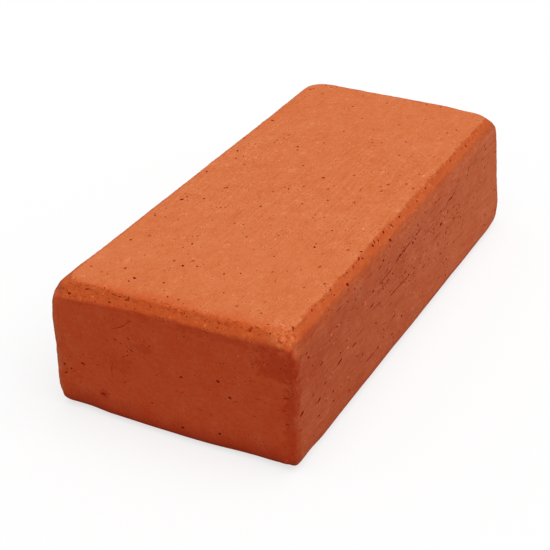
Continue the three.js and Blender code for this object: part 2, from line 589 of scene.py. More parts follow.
NAMED_GROOVES = marks_on(Groove, {
    Face.UPPER_BED: (
        # Crevices and the gash at the near corner.
        ((-115.0, -45.2), (-115.6, -47.4), (-116.6, -48.8), 0.7, 0.4),
        ((-115.2, -51.6), (-116.0, -52.4), (-117.0, -52.9), 1.2, 0.6),
        ((-117.0, -53.6), (-117.6, -54.2), (-118.4, -55.4), 1.1, 0.55),
    ),
    Face.NEAR_HEADER: (
        ((28.6, 48.4), (22.6, 49.4), (17.6, 55.4), 0.55, 0.18),
        ((21.6, 42.0), (20.0, 40.2), (16.8, 39.4), 0.9, 0.28),
        ((17.4, 38.6), (19.4, 37.4), (23.0, 35.2), 0.8, 0.22),
        ((28.5, 31.5), (30.5, 26.0), (29.0, 22.5), 0.5, 0.14),
        ((2.0, 22.4), (-8.0, 24.0), (-16.0, 27.5), 0.35, 0.06),
        ((-52.6, 44.6), (-54.0, 44.2), (-55.2, 43.4), 0.55, 0.25),
        ((-53.6, 41.4), (-54.6, 40.4), (-55.6, 39.8), 0.55, 0.25),
        ((-52.4, 36.2), (-54.0, 36.6), (-55.8, 37.2), 0.55, 0.25),
        ((-52.2, 30.6), (-53.2, 30.4), (-54.2, 30.4), 0.6, 0.3),
        ((-53.6, 23.8), (-54.8, 24.0), (-56.2, 24.2), 0.6, 0.3),
    ),
    Face.NEAR_STRETCHER: (
        ((-2.1, 49.6), (-17.8, 49.5), (-23.8, 47.6), 1.2, 0.7),
        ((10.6, 50.6), (5.0, 50.2), (-1.0, 49.9), 0.72, 0.3),
        ((-30.7, 50.0), (-33.0, 49.7), (-35.5, 49.2), 1.25, 0.6),
        ((-26.4, 47.4), (-35.8, 47.0), (-42.0, 46.6), 1.0, 0.48),
        ((-42.5, 46.6), (-46.0, 46.4), (-53.4, 46.9), 1.12, 0.48),
        ((-33.5, 43.7), (-37.5, 43.6), (-43.2, 42.7), 1.12, 0.48),
        ((-4.4, 33.2), (-16.2, 33.6), (-30.2, 34.4), 1.0, 0.48),
        ((-43.3, 14.8), (-53.3, 14.8), (-59.9, 15.6), 0.72, 0.3),
        ((-57.3, 34.0), (-62.7, 33.5), (-65.9, 33.3), 0.72, 0.3),
        ((-79.9, 57.3), (-84.0, 57.5), (-88.0, 57.4), 0.72, 0.3),
        ((-94.6, 33.9), (-98.0, 34.7), (-103.9, 35.8), 0.5, 0.14),
        ((-67.0, 31.1), (-69.5, 31.2), (-71.8, 31.2), 1.38, 0.72),
        ((-72.2, 31.2), (-74.0, 31.1), (-76.2, 30.6), 1.12, 0.54),
        ((55.6, 49.2), (48.5, 48.6), (42.9, 48.9), 1.0, 0.48),
        ((-80.1, 48.9), (-84.0, 49.6), (-88.2, 50.4), 0.72, 0.3),
        ((26.0, 45.6), (19.0, 45.0), (12.0, 44.8), 0.72, 0.3),
        ((36.0, 36.4), (30.0, 36.2), (24.0, 35.9), 0.72, 0.3),
    ),
})

GROOVE_FIELDS = (
    GrooveField(Face.NEAR_STRETCHER, (-56, 60), (28, 54), 30, (2, 7), (0.45, 0.9), 2.0),
    GrooveField(Face.NEAR_STRETCHER, (-110, 110), (12, 57), 46, (2, 7), (0.35, 0.75), 2.0),
    GrooveField(Face.FAR_STRETCHER, (-110, 110), (10, 57), 66, (2, 11), (0.35, 0.8), 0.0),
    GrooveField(Face.NEAR_HEADER, (-45, 45), (10, 55), 8, (2, 7), (0.25, 0.4), -12.0, 16.0),
    GrooveField(Face.FAR_HEADER, (-45, 45), (10, 55), 14, (4, 14), (0.3, 0.5), 8.0, 16.0),
    GrooveField(Face.UPPER_BED, (-100, 100), (-46, 48), 14, (1.5, 5), (0.25, 0.4), 0.0, 4.0),
    GrooveField(Face.LOWER_BED, (-100, 100), (-44, 44), 30, (3, 20), (0.35, 0.7), 0.0, 5.0),
    GrooveField(Face.UPPER_BED, (-123.5, -120), (-20, 46), 4, (2, 6), (0.3, 0.5), 90.0, 3.0),
    GrooveField(Face.UPPER_BED, (119.5, 123.5), (-38, 38), 8, (4, 12), (0.35, 0.6), 90.0, 3.0),
)


class Marks:
    """The pits, drag lines and crumbs, as meshes to cut from the body or to join to it."""

    SCATTER_SEED = 41
    FINE_BALL = 2
    COARSE_BALL = 1
    # Marks that are longer than this are copied from the fine ball.
    BIG_MARK = 1.3
    LUMP_SIZE = 0.8
    LUMP_DEPTH = 0.5
    # How far a pit's ball is sunk, as a share of the pit's depth.
    PIT_SINK = 0.3
    CRUMB_SHARE_BELOW = 0.35
    ROOM_BETWEEN = 0.25
    # Past this far from the middle, the brow is the header's.
    HEADER_BROW_FROM = 118.0
    # Small pits: the ranges of their sizes, and their depth as a share of their width.
    SMALL_WIDTHS = (0.75, 1.2)
    SMALL_LENGTHS = (0.75, 1.3)
    SMALL_TURNS = (-20.0, 20.0)
    SMALL_DEPTH = 0.6
    PORE_DEPTHS = (0.4, 0.7)
    PORE_TURN = 60.0
    # Patches: how far their marks stray along and across, as a share of the patch's reach.
    PATCH_STRAY = (0.6, 0.4)
    PATCH_PIT_SIZES = (0.4, 1.0)
    CRUMB_SIZES = (0.45, 1.1)
    PATCH_LENGTHS = (1.0, 2.4)
    PATCH_RISES = (0.28, 0.5)
    PATCH_TURN = 50.0
    PATCH_PIT_DEPTH = 1.6
    # Grooves: the tool's step, how much it tapers to the ends and how unevenly it presses.
    GROOVE_STEP = 1.8
    GROOVE_LEAST_STEPS = 5
    GROOVE_TIP = 0.12
    GROOVE_TAPER = 0.6
    GROOVE_PRESS = (0.35, 1.2)
    GROOVE_SWAY = 0.05
    GROOVE_DEPTHS = (0.25, 0.6)

    def __init__(
        self,
        body: Object,
        middle: Place,
        to_brow: Callable[[np.ndarray], np.ndarray],
    ) -> None:
        """Prepares the marks for one body.

        Args:
            body: the mesh that they are made for.
            middle: the middle of the brick, in millimetres.
            to_brow: tells how far inside the ragged brow each place lies.
        """
        self.draw = random.Random(self.SCATTER_SEED)
        self.middle = middle
        self.to_brow = to_brow
        self.surface = BVHTree.FromObject(body, bpy.context.evaluated_depsgraph_get())
        self.taken: list[tuple[Vector, float]] = []
        self.line_taken: list[tuple[Vector, float]] = []
        self.fine_ball = self._lumpy_ball("fine_ball", self.FINE_BALL)
        self.coarse_ball = self._lumpy_ball("coarse_ball", self.COARSE_BALL)

    def _lumpy_ball(self, name: str, divisions: int) -> Object:
        """A lumpy ball of radius 1, the pattern that pits and crumbs are copied from.

        Args:
            name: its name.
            divisions: how finely the ball is divided.

        Returns:
            The ball's object.
        """
        add_ball = bpy.ops.mesh.primitive_ico_sphere_add
        ball = add_object(add_ball, name, subdivisions=divisions, radius=1.0)
        lumps = bpy.data.textures.new(name + "_lumps", "CLOUDS")
        lumps.noise_scale = self.LUMP_SIZE
        push = ball.modifiers.new("Lumps", "DISPLACE")
        push.texture = lumps
        push.strength = self.LUMP_DEPTH
        apply_modifier(ball, push)
        return ball

    def _surface_under(self, face: Face, first: float, second: float) -> tuple[Vector, Vector]:
        """The place on the body under a point of a face, and the way it faces there."""
        start = face.point_over(first, second, self.middle)
        return self.surface.ray_cast(start, -face.outward())[:2]

    def _lump(self, mark: Pit | Crumb, up: float, down: float) -> Object:
        """A copy of the ball at one mark.

        Args:
            mark: the pit or crumb.
            up: how far the lump reaches above the surface, in millimetres.
            down: how far it reaches below.

        Returns:
            The copy, in its place.
        """
        place, normal = self._surface_under(mark.face, mark.first, mark.second)
        along = Matrix.Rotation(math.radians(mark.turn), 3, normal) @ mark.face.along()
        across = normal.cross(along).normalized()
        along = across.cross(normal).normalized()
        turned = Matrix((along, across, normal)).transposed().to_4x4()
        half = (up + down) / 2
        size = Matrix.Diagonal((mark.length / 2 * MM, mark.width / 2 * MM, half * MM, 1.0))
        spin = Euler([self.draw.uniform(0.0, math.tau) for _ in range(3)]).to_matrix().to_4x4()
        centre = place + normal * ((up - down) / 2 * MM)
        reach = max(mark.length, mark.width) / 2 * MM
        self.taken.append((place, reach))
        ball = self.fine_ball if mark.length > self.BIG_MARK else self.coarse_ball
        mesh = ball.data.copy()
        mesh.transform(Matrix.Translation(centre) @ turned @ size @ spin)
        return show_data("mark", mesh)

    def _hollow(self, pit: Pit) -> Object:
        """The lump that cuts one pit."""
        above = pit.depth * (1.0 - 2.0 * self.PIT_SINK)
        return self._lump(pit, above, pit.depth * (1.0 + self.PIT_SINK))

    def _heap(self, crumb: Crumb) -> Object:
        """The lump that makes one crumb."""
        below = max(crumb.height, crumb.width * self.CRUMB_SHARE_BELOW)
        return self._lump(crumb, crumb.height, below)

    def _may_take(self, mark: Pit | Crumb) -> bool:
        """Whether a strewn mark lands on the body, clear of those already placed.

        Args:
            mark: the mark.

        Returns:
            True if there is room for it.
        """
        place, _normal = self._surface_under(mark.face, mark.first, mark.second)
        if place is None:
            return False
        room = max(mark.length, mark.width) / 2 * MM + self.ROOM_BETWEEN * MM
        return all((place - other).length > room + reach for other, reach in self.taken)

    def _pull_to_brow(self, first: float, second: float) -> Pair:
        """Moves a point of the upper bed across the brow, until it lies on it.

        Args:
            first: the point's coordinate along the bed.
            second: its coordinate across the bed.

        Returns:
            The coordinates of the point on the brow.
        """
        spot = np.array([[first, second, self.middle[2]]])
        inside = float(self.to_brow(spot)[0])
        if abs(first) > self.HEADER_BROW_FROM:
            return first + math.copysign(inside, first), second
        return first, second + math.copysign(inside, second)

    def _small(self, group: SmallPits) -> list[Object]:
        """The hollows of a group of small pits, each a little different.

        Args:
            group: the pits.

        Returns:
            The lumps that cut them.
        """
        hollows = []
        for first, second in group.places:
            width = group.width * self.draw.uniform(*self.SMALL_WIDTHS)
            length = width * group.stretch * self.draw.uniform(*self.SMALL_LENGTHS)
            turn = self.draw.uniform(*self.SMALL_TURNS)
            depth = width * self.SMALL_DEPTH
            hollows.append(self._hollow(Pit(group.face, first, second, length, width, depth, turn)))
        return hollows

    def _strewn(self, pores: PoreField) -> list[Object]:
        """The lumps that cut one field of pores.

        Args:
            pores: the field.

        Returns:
            The lumps of the pores that found room.
        """
        made: list[Object] = []
        for _ in range(pores.count):
            first = self.draw.uniform(*pores.first)
            second = self.draw.uniform(*pores.second)
            if pores.on_brow:
                first, second = self._pull_to_brow(first, second)
            width = pores.smallest * (pores.largest / pores.smallest) ** (self.draw.random() ** 2.0)
            length = width * self.draw.uniform(1.0, pores.stretch ** 2)
            depth = width * self.draw.uniform(*self.PORE_DEPTHS)
            turn = self.draw.gauss(0.0, self.PORE_TURN / pores.stretch ** 2)
            pit = Pit(pores.face, first, second, length, width, depth, turn)
            if self._may_take(pit):
                made.append(self._hollow(pit))
        return made

    def _crowd(self, patch: Patch) -> tuple[list[Object], list[Object]]:
        """The pits and the crumbs of one disturbed patch.

        Args:
            patch: the patch.

        Returns:
            The lumps that found room.
        """
        pits: list[Object] = []
        crumbs: list[Object] = []
        along, across = self.PATCH_STRAY
        for index in range(patch.pits + patch.crumbs):
            first = patch.first + self.draw.gauss(0.0, patch.reach * along)
            second = patch.second + self.draw.gauss(0.0, patch.reach * across)
            turn = self.draw.gauss(0.0, self.PATCH_TURN)
            is_pit = index < patch.pits
            width = self.draw.uniform(*(self.PATCH_PIT_SIZES if is_pit else self.CRUMB_SIZES))
            length = width * self.draw.uniform(*self.PATCH_LENGTHS)
            rise = width * self.draw.uniform(*self.PATCH_RISES)
            if is_pit:
                depth = rise * self.PATCH_PIT_DEPTH
                pit = Pit(patch.face, first, second, length, width, depth, turn)
                if self._may_take(pit):
                    pits.append(self._hollow(pit))
            else:
                crumb = Crumb(patch.face, first, second, length, width, rise, turn)
                if self._may_take(crumb):
                    crumbs.append(self._heap(crumb))
        return pits, crumbs

    def _drawn_groove(self, lines: GrooveField) -> Groove:
        """One groove of a field, at a random place.

        Args:
            lines: the field.

        Returns:
            The groove.
        """
        angle = math.radians(self.draw.gauss(lines.turn, lines.spread))
        reach = self.draw.uniform(*lines.length) / 2
        middle = (self.draw.uniform(*lines.first), self.draw.uniform(*lines.second))
        ahead = (math.cos(angle) * reach, math.sin(angle) * reach)
        sway = self.draw.gauss(0.0, self.GROOVE_SWAY) * reach
        bend = (middle[0] - math.sin(angle) * sway, middle[1] + math.cos(angle) * sway)
        start = (middle[0] - ahead[0], middle[1] - ahead[1])
        end = (middle[0] + ahead[0], middle[1] + ahead[1])
        width = self.draw.uniform(*lines.width)
        depth = width * self.draw.uniform(*self.GROOVE_DEPTHS)
        return Groove(lines.face, start, bend, end, width, depth)

    def _groove_points(self, groove: Groove) -> list[tuple[Vector, float]]:
        """The places that a groove's round tool passes, in metres, and its radius in millimetres.

        Args:
            groove: the groove.

        Returns:
            Its points, or none where it leaves the body or meets another groove.
        """
        reach = math.dist(groove.start, groove.end)
        steps = max(self.GROOVE_LEAST_STEPS, round(reach / self.GROOVE_STEP))
        points: list[tuple[Vector, float]] = []
        for step in range(steps + 1):
            share = step / steps
            first, second = (
                (1 - share) ** 2 * groove.start[i]
                + 2 * share * (1 - share) * groove.bend[i]
                + share ** 2 * groove.end[i]
                for i in range(2)
            )
            place, normal = self._surface_under(groove.face, first, second)
            if place is None:
                return []
            swell = math.sin(math.pi * share) ** self.GROOVE_TAPER
            swell = self.GROOVE_TIP + (1.0 - self.GROOVE_TIP) * swell
            swell *= self.draw.uniform(*self.GROOVE_PRESS)
            radius = groove.width / 2 * swell
            lift = radius - groove.depth * swell
            room = (groove.width + self.ROOM_BETWEEN) * MM
            if any((place - other).length < room + reach for other, reach in self.line_taken):
                return []
            points.append((place + normal * (lift * MM), radius))
        self.line_taken += [(place, radius * MM) for place, radius in points]
        return points

    def _groove_tool(self) -> Object:
        """The mesh that cuts all the grooves.

        Returns:
            The mesh object.
        """
        curve = bpy.data.curves.new("grooves", "CURVE")
        curve.dimensions = "3D"
        curve.bevel_depth = MM
        curve.bevel_resolution = 0
        curve.use_fill_caps = True
        grooves = list(NAMED_GROOVES)
        for lines in GROOVE_FIELDS:
            grooves += [self._drawn_groove(lines) for _ in range(lines.count)]
        for groove in grooves:
            points = self._groove_points(groove)
            if not points:
                continue
            line = curve.splines.new("POLY")
            line.points.add(len(points) - 1)
            for spot, (place, radius) in zip(line.points, points):
                spot.co = (*place, 1.0)
                spot.radius = radius
        LOG.info("marks: %d grooves", len(curve.splines))
        select_only(show_data("grooves", curve))
        bpy.ops.object.convert(target="MESH")
        tool = bpy.context.active_object
        weld(tool)
        bpy.ops.object.mode_set(mode="EDIT")
        bpy.ops.mesh.normals_make_consistent(inside=False)
        bpy.ops.object.mode_set(mode="OBJECT")
        return tool

    def tools(self) -> tuple[Object, Object, Object]:
        """Makes the meshes that shape the marks.

        Returns:
            The pits and the grooves, to cut away, and the crumbs, to join.
        """
        hollows = [self._hollow(pit) for pit in NAMED_PITS]
        heaps = [self._heap(crumb) for crumb in NAMED_CRUMBS]
        for patch in PATCHES:
            pits, crumbs = self._crowd(patch)
            hollows += pits
            heaps += crumbs
        for pores in PORE_FIELDS:
            hollows += self._strewn(pores)
        for group in SMALL_PITS:
            hollows += self._small(group)
        remove_object(self.fine_ball)
        remove_object(self.coarse_ball)
        for group in (hollows, heaps):
            select_only(*group)
            bpy.ops.object.join()
        LOG.info("marks: %d pits and pores, %d crumbs", len(hollows), len(heaps))
        return hollows[0], self._groove_tool(), heaps[0]


# ---- the body


# The parts of the surface that a relief can work on.
Zone = Enum(
    "Zone",
    "WHOLE BEDS STRETCHERS HEADERS PAST_LIP BROW CHAMFER NEAR_RIDGES CHAMFER_END "
    "SHOULDER SIDE_SHOULDERS UPRIGHTS NEAR_CORNER",
)


@dataclass(frozen=True)
class Relief:
    """One layer of unevenness, as noise that pushes the surface in and out.

    feature is the size of its lumps and depth their full height, in millimetres.
    stretch draws the lumps out along each axis, and level is the noise that stays put.
    A relief without a feature size pushes its whole zone in by its depth.
    """

    name: str
    zone: Zone
    feature: float
    depth: float
    stretch: Place = (1.0, 1.0, 1.0)
    level: float = 0.5
    fineness: int = 2


BROAD_RELIEFS = (
    Relief("settling", Zone.WHOLE, 42.0, 0.5),
    Relief("hand_waves", Zone.WHOLE, 13.0, 0.2),
    Relief("header_smear", Zone.HEADERS, 5.0, 0.2, (1.0, 2.5, 1.0)),
    Relief("lip", Zone.PAST_LIP, 0.0, 0.34),
    Relief("rubbed_shoulders", Zone.SIDE_SHOULDERS, 0.0, 0.3),
    Relief("brow_lumps", Zone.BROW, 6.0, 0.5, level=0.6),
)

FINE_RELIEFS = (
    Relief("bed_drag", Zone.BEDS, 3.4, 0.14, (9.0, 1.0, 1.0)),
    Relief("stretcher_drag", Zone.STRETCHERS, 2.6, 0.4, (10.0, 1.0, 1.0)),
    Relief("brow_crumbs", Zone.BROW, 1.6, 0.7, level=0.55, fineness=3),
    Relief("header_ridges", Zone.NEAR_RIDGES, 1.5, 0.4, (1.0, 5.0, 1.0), 0.55),
    Relief("end_crumbs", Zone.CHAMFER_END, 1.7, 0.6, (1.0, 1.3, 1.0), 0.55, 3),
    Relief("chamfer_crumbs", Zone.CHAMFER, 2.0, 0.45, (1.3, 1.3, 1.0), 0.55, 3),
    Relief("shoulder_crumbs", Zone.SHOULDER, 2.2, 0.6, level=0.55, fineness=3),
    Relief("upright_nicks", Zone.UPRIGHTS, 2.6, 0.45, (1.4, 1.4, 1.0), 0.62, 3),
    Relief("corner_flakes", Zone.NEAR_CORNER, 2.4, 1.2, level=0.6, fineness=3),
)


@dataclass(frozen=True)
class Run:
    """A run along one axis that is divided into cells of one size."""

    axis: int
    start: float
    end: float
    cell: float


@dataclass(frozen=True)
class Knock:
    """A corner or edge that has been worn in, with a smooth fall-off."""

    centre: Place
    reach: float
    push: Place


@dataclass(frozen=True)
class Facet:
    """A place that rubbing wore flat: what stands past this plane is pressed onto it."""

    point: Place
    outward: Place


@dataclass
class BrickBody:
    """The fired clay body, shaped on the part's own solid and then worn."""

    PIT_SLOT: ClassVar[int] = 1
    GROOVE_SLOT: ClassVar[int] = 2
    CRUMB_SLOT: ClassVar[int] = 3
    # Waves of the ragged borders, as the size and the height of each kind.
    LIP_WAVES: ClassVar[tuple[Pair, ...]] = ((7.0, 0.8), (2.4, 0.5), (1.1, 0.3))
    SHOULDER_WAVES: ClassVar[tuple[Pair, ...]] = ((5.0, 0.5), (1.6, 0.4), (2.6, 1.0))
    HEADER_WAVES: ClassVar[tuple[Pair, ...]] = ((5.0, 1.8), (1.8, 1.4))
    # Depths that count as on the surface, as near the upper bed and as at the lower bed.
    SKIN: ClassVar[float] = 0.1
    UPPER_DEPTH: ClassVar[float] = 12.0
    FOOT_HEIGHT: ClassVar[float] = 3.0
    # A relief leaves the places out that would take less of it than this.
    LEAST_SHARE: ClassVar[float] = 0.004
    # How many cells away the surroundings of a place reach.
    WEAR_STEPS: ClassVar[int] = 8
    # Removing one fin can uncover another, so it is done again while there are any.
    MEND_ROUNDS: ClassVar[int] = 4
    node: str = "brick"
    material_slot: str = "fired_clay"
    header_band: float = 8.6
    stretcher_band: float = 11.8
    foot_band: float = 8.0
    top_band: float = 7.6
    upright_band: float = 4.0
    face_cell: float = 2.8
    band_cell: float = 0.78
    foot_cell: float = 1.4
    header_brow_inset: float = 3.5
    stretcher_brow_inset: float = 7.35
    bed_corner_radius: float = 8.0
    # Where the brow's finer cells start and end, inside it.
    brow_cells: Pair = (-1.6, 2.2)
    ease_factor: float = 0.5
    ease_rounds: int = 2
    crease_angle: float = 38.0
    lip_shift: float = 0.3
    chamfer_drop: float = 5.1
    # How much lower the chamfer ends towards the two ends of the near header.
    low_chamfer: float = 2.2
    low_chamfer_span: Pair = (24.0, 52.0)
    right_chamfer: float = 0.7
    right_chamfer_span: Pair = (-10.0, -24.0)
    # How far the stretchers lean in, for each millimetre above where they start to.
    stretcher_lean: float = 0.04
    lean_from: float = 6.0
    header_border: Pair = (-1.2, 2.2)
    rim_width: float = 2.4
    # Each of these spans holds where a zone starts and where it is full, in millimetres.
    side_start: Pair = (0.0, 2.5)
    side_foot: Pair = (1.0, 6.0)
    upper_bed_start: Pair = (1.0, 5.0)
    lower_bed_start: Pair = (4.0, 8.0)
    # The far edges of the upper bed are crisper than the near ones.
    far_side: Pair = (40.0, 54.0)
    far_side_calm: float = 0.6
    far_end: Pair = (100.0, 116.0)
    far_end_calm: float = 0.55
    past_lip: Pair = (0.35, -0.25)
    past_lip_end: Pair = (-4.5, -0.5)
    header_lip_calm: float = 0.9
    chamfer_start: Pair = (1.0, -1.0)
    chamfer_end: Pair = (1.5, -1.0)
    near_end: Pair = (-112.0, -118.0)
    near_brow: Pair = (3.4, 0.8)
    near_shoulder: Pair = (0.0, -2.2)
    ridges_side: Pair = (-42.0, -10.0)
    crumbs_side: Pair = (18.0, 40.0)
    # The middle and the width of what works along a line, and how crisp stretchers stay.
    brow_line: Pair = (-0.4, 1.5)
    shoulder_line: Pair = (-0.2, 1.0)
    side_shoulder_line: Pair = (-0.2, 1.6)
    stretcher_shoulder: float = 0.35
    upright_start: Pair = (3.2, 0.6)
    upright_foot: Pair = (5.0, 14.0)
    near_corner: Place = (3.0, 7.5, 1.5)
    near_corner_start: Pair = (9.0, 2.0)
    facets: tuple[Facet, ...] = (
        Facet((-125.0, 15.0, 59.8), (-0.8287, 0.0330, 0.5588)),
    )
    knocks: tuple[Knock, ...] = (
        Knock((-125.0, 58.0, 62.0), 9.0, (0.5, -0.6, -0.4)),
        Knock((125.0, -57.5, 61.0), 10.0, (-0.8, 0.8, -0.4)),
        Knock((-125.0, -58.0, 62.0), 6.0, (0.5, 0.6, -0.6)),
        Knock((-125.0, -2.0, 0.0), 50.0, (-0.8, 0.0, 0.0)),
        Knock((-125.0, 46.0, 0.0), 14.0, (1.1, 0.0, 0.0)),
        Knock((-125.0, -36.0, 0.0), 24.0, (0.5, 0.0, 0.0)),
        Knock((-125.0, -52.0, 0.0), 8.0, (0.5, 0.0, 0.0)),
        Knock((-120.6, -57.8, 2.0), 3.6, (-0.7, -0.5, -0.4)),
        Knock((-111.0, -60.0, 0.0), 12.0, (0.0, 0.6, 0.0)),
        Knock((-122.5, 58.0, 60.0), 6.0, (0.3, -0.5, -0.2)),
        Knock((-104.0, 60.0, 63.0), 20.0, (0.0, 0.6, 0.1)),
        Knock((-125.0, 56.0, 45.0), 14.0, (-0.3, 0.4, 0.0)),
        Knock((122.0, -40.0, 63.0), 14.0, (-0.3, 0.0, -0.6)),
        Knock((118.0, -60.0, 3.0), 12.0, (0.0, 0.6, 0.0)),
        Knock((-123.0, 57.5, 0.0), 7.0, (-1.4, 1.4, 0.0)),
        Knock((-125.0, -60.0, 0.0), 12.0, (-1.2, 0.5, 0.0)),
        Knock((125.0, -60.0, 2.0), 12.0, (-0.7, 0.7, 0.0)),
    )
    # How far each corner of the block moved while it dried and was fired.
    warp: dict[tuple[int, int, int], Place] = field(
        default_factory=lambda: {
            (-1, -1, 0): (0.0, 1.0, 0.0),
            (1, -1, 0): (0.9, -0.6, 0.0),
            (-1, 1, 0): (-0.4, 0.1, 0.0),
            (1, 1, 0): (0.2, 0.0, 0.0),
            (-1, -1, 1): (0.8, -1.2, 0.2),
            (1, -1, 1): (-0.5, 1.0, -1.2),
            (-1, 1, 1): (-0.4, 0.3, -0.2),
            (1, 1, 1): (0.8, -0.5, 0.6),
        }
    )

    def __post_init__(self) -> None:
        """Reads the overall size from the part's solid."""
        low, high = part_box(self.node)
        self.half_length = high.x / MM
        self.half_width = high.y / MM
        self.height = high.z / MM
        self.bed_end = self.half_length - self.header_band
        self.bed_side = self.half_width - self.stretcher_band
        self.top = self.height - self.top_band
        brow_x = self.half_length - self.header_brow_inset
        self.brow = (brow_x, self.half_width - self.stretcher_brow_inset)

    # ---- mesh steps

    def _raised_block(self) -> Object:
        """A plain block of the overall size, cut where its cells change.

        Returns:
            The block.
        """
        block = add_object(
            bpy.ops.mesh.primitive_cube_add,
            "clay_body",
            size=1.0,
            location=(0.0, 0.0, self.height / 2 * MM),
            scale=(self.half_length * 2 * MM, self.half_width * 2 * MM, self.height * MM),
        )
        bpy.ops.object.transform_apply(location=True, rotation=True, scale=True)
        bpy.ops.object.mode_set(mode="EDIT")
        for run in self._runs():
            point = [0.0, 0.0, 0.0]
            point[run.axis] = run.start * MM
            normal = [0.0, 0.0, 0.0]
            normal[run.axis] = 1.0
            bpy.ops.mesh.select_all(action="SELECT")
            bpy.ops.mesh.bisect(plane_co=point, plane_no=normal)
        bpy.ops.object.mode_set(mode="OBJECT")
        return block

    def _runs(self) -> tuple[Run, ...]:
        """The runs of cells along X, Y and Z.

        Returns:
            The runs, in order.
        """
        face, band = self.face_cell, self.band_cell
        axes = (
            ((-self.half_length, -self.bed_end, self.bed_end, self.half_length), (band, face, band)),
            ((-self.half_width, -self.bed_side, self.bed_side, self.half_width), (band, face, band)),
            ((0.0, self.foot_band, self.top, self.height), (self.foot_cell, face, band)),
        )
        return tuple(
            Run(axis, start, end, cell)
            for axis, (borders, cells) in enumerate(axes)
            for start, end, cell in zip(borders, borders[1:], cells)
        )

    def _divide(
        self,
        block: Object,
        axes: tuple[int, ...],
        cuts: int,
        choose: Callable[[np.ndarray], np.ndarray],
    ) -> None:
        """Divides the edges that run along one axis, or along one of two.

        Args:
            block: the mesh.
            axes: the axes, from 0 to 2.
            cuts: how many new points each edge gets.
            choose: picks edges by the places of their middles.
        """
        mesh = block.data
        places = vertex_places(block)
        ends = edge_ends(block)
        run = np.abs(places[ends[:, 0]] - places[ends[:, 1]])
        along = np.argmax(run, axis=1)
        straight = np.sort(run, axis=1)[:, 1] < 0.01
        chosen = np.isin(along, axes) & straight & choose(places[ends].mean(axis=1))
        mesh.vertices.foreach_set("select", np.zeros(len(mesh.vertices), dtype=bool))
        mesh.polygons.foreach_set("select", np.zeros(len(mesh.polygons), dtype=bool))
        mesh.edges.foreach_set("select", chosen)
        select_only(block)
        bpy.context.tool_settings.mesh_select_mode = (False, True, False)
        bpy.ops.object.mode_set(mode="EDIT")
        bpy.ops.mesh.subdivide(number_cuts=cuts)
        bpy.ops.object.mode_set(mode="OBJECT")

    def _gridded_block(self) -> Object:
        """The block with small cells near its edges and larger ones on its faces.

        Returns:
            The block.
        """
        block = self._raised_block()
        for run in self._runs():
            cuts = round((run.end - run.start) / run.cell) - 1
            self._divide(
                block,
                (run.axis,),
                cuts,
                lambda p, r=run: (p[:, r.axis] > r.start) & (p[:, r.axis] < r.end),
            )
        upright_x = self.half_length - self.upright_band
        upright_y = self.half_width - self.upright_band
        far = math.inf

        def region(x: Pair, y: Pair, z: Pair) -> Callable[[np.ndarray], np.ndarray]:
            """Picks the places whose distances from the middle and the floor lie in these ranges."""
            low, high = zip(x, y, z)
            return lambda p: ((np.abs(p) > low) & (np.abs(p) < high)).all(axis=1)

        def near_brow(p: np.ndarray) -> np.ndarray:
            """Which places of the block's top lie close to the brow."""
            inside = np.where(p[:, 2] > self.height - self.SKIN, self.inside_brow(p), far)
            return (inside > self.brow_cells[0]) & (inside < self.brow_cells[1])

        top = (self.top, far)
        between = (self.foot_band, self.top)
        face_y = self.half_width - self.SKIN
        finer = (
            # The upper edges, along their length, and the brow, both ways.
            ((0,), 2, region((-1.0, self.bed_end), (self.bed_side, far), top)),
            ((1,), 2, region((self.bed_end, far), (-1.0, self.bed_side), top)),
            ((0, 1), 1, near_brow),
            # The upright edges, and the dragged clay of the stretchers.
            ((2,), 2, region((upright_x, far), (upright_y, far), between)),
            ((2,), 1, region((-1.0, upright_x), (face_y, far), between)),
        )
        for axes, cuts, choose in finer:
            self._divide(block, axes, cuts, choose)
        return block

    def _form(self) -> Object:
        """A merged copy of the part's own solid, to press the block on.

        Returns:
            The copy.
        """
        solid = frame["nodes"][self.node]
        form = solid.copy()
        form.data = solid.data.copy()
        form.name = "form"
        bpy.context.collection.objects.link(form)
        form.hide_set(False)
        weld(form)
        return form

    def _press_to_form(self, block: Object) -> None:
        """Presses the block onto the form and eases the form's facets out.

        Args:
            block: the gridded block.
        """
        form = self._form()
        press = block.modifiers.new("Press", "SHRINKWRAP")
        press.target = form
        press.wrap_method = "NEAREST_SURFACEPOINT"
        apply_modifier(block, press)
        ease = block.modifiers.new("Ease", "SMOOTH")
        ease.factor = self.ease_factor
        ease.iterations = self.ease_rounds
        apply_modifier(block, ease)
        remove_object(form)

    # ---- zones

    def inside_brow(self, places: np.ndarray) -> np.ndarray:
        """How far each place lies inside the brow, the upper end of the chamfer."""
        return inside_rounded_rectangle(places, *self.brow, self.bed_corner_radius)

    def inside_lip(self, places: np.ndarray) -> np.ndarray:
        """How far each place lies inside the ragged lip, where the brow crumbled."""
        long, middle, short = ragged_noise(places * (1.0, 1.0, 0.0), *self.LIP_WAVES)
        return self.inside_brow(places) + self.lip_shift + (long + middle) + short

    def below_shoulder(self, places: np.ndarray) -> np.ndarray:
        """How far each place lies below the chamfer's ragged lower border.

        Args:
            places: one row a place, in millimetres.

        Returns:
            The distances, in millimetres.
        """
        near = places[:, 0] < 0.0
        low = smooth_step(*self.low_chamfer_span, places[:, 1]) * near
        right = smooth_step(*self.right_chamfer_span, places[:, 1]) * near
        at_header = self.header_share(places)
        drop = self.chamfer_drop + (low * self.low_chamfer + right * self.right_chamfer) * at_header
        long, short, header_only = ragged_noise(places, *self.SHOULDER_WAVES)
        return self.height - drop - places[:, 2] + (long + short + header_only * at_header)

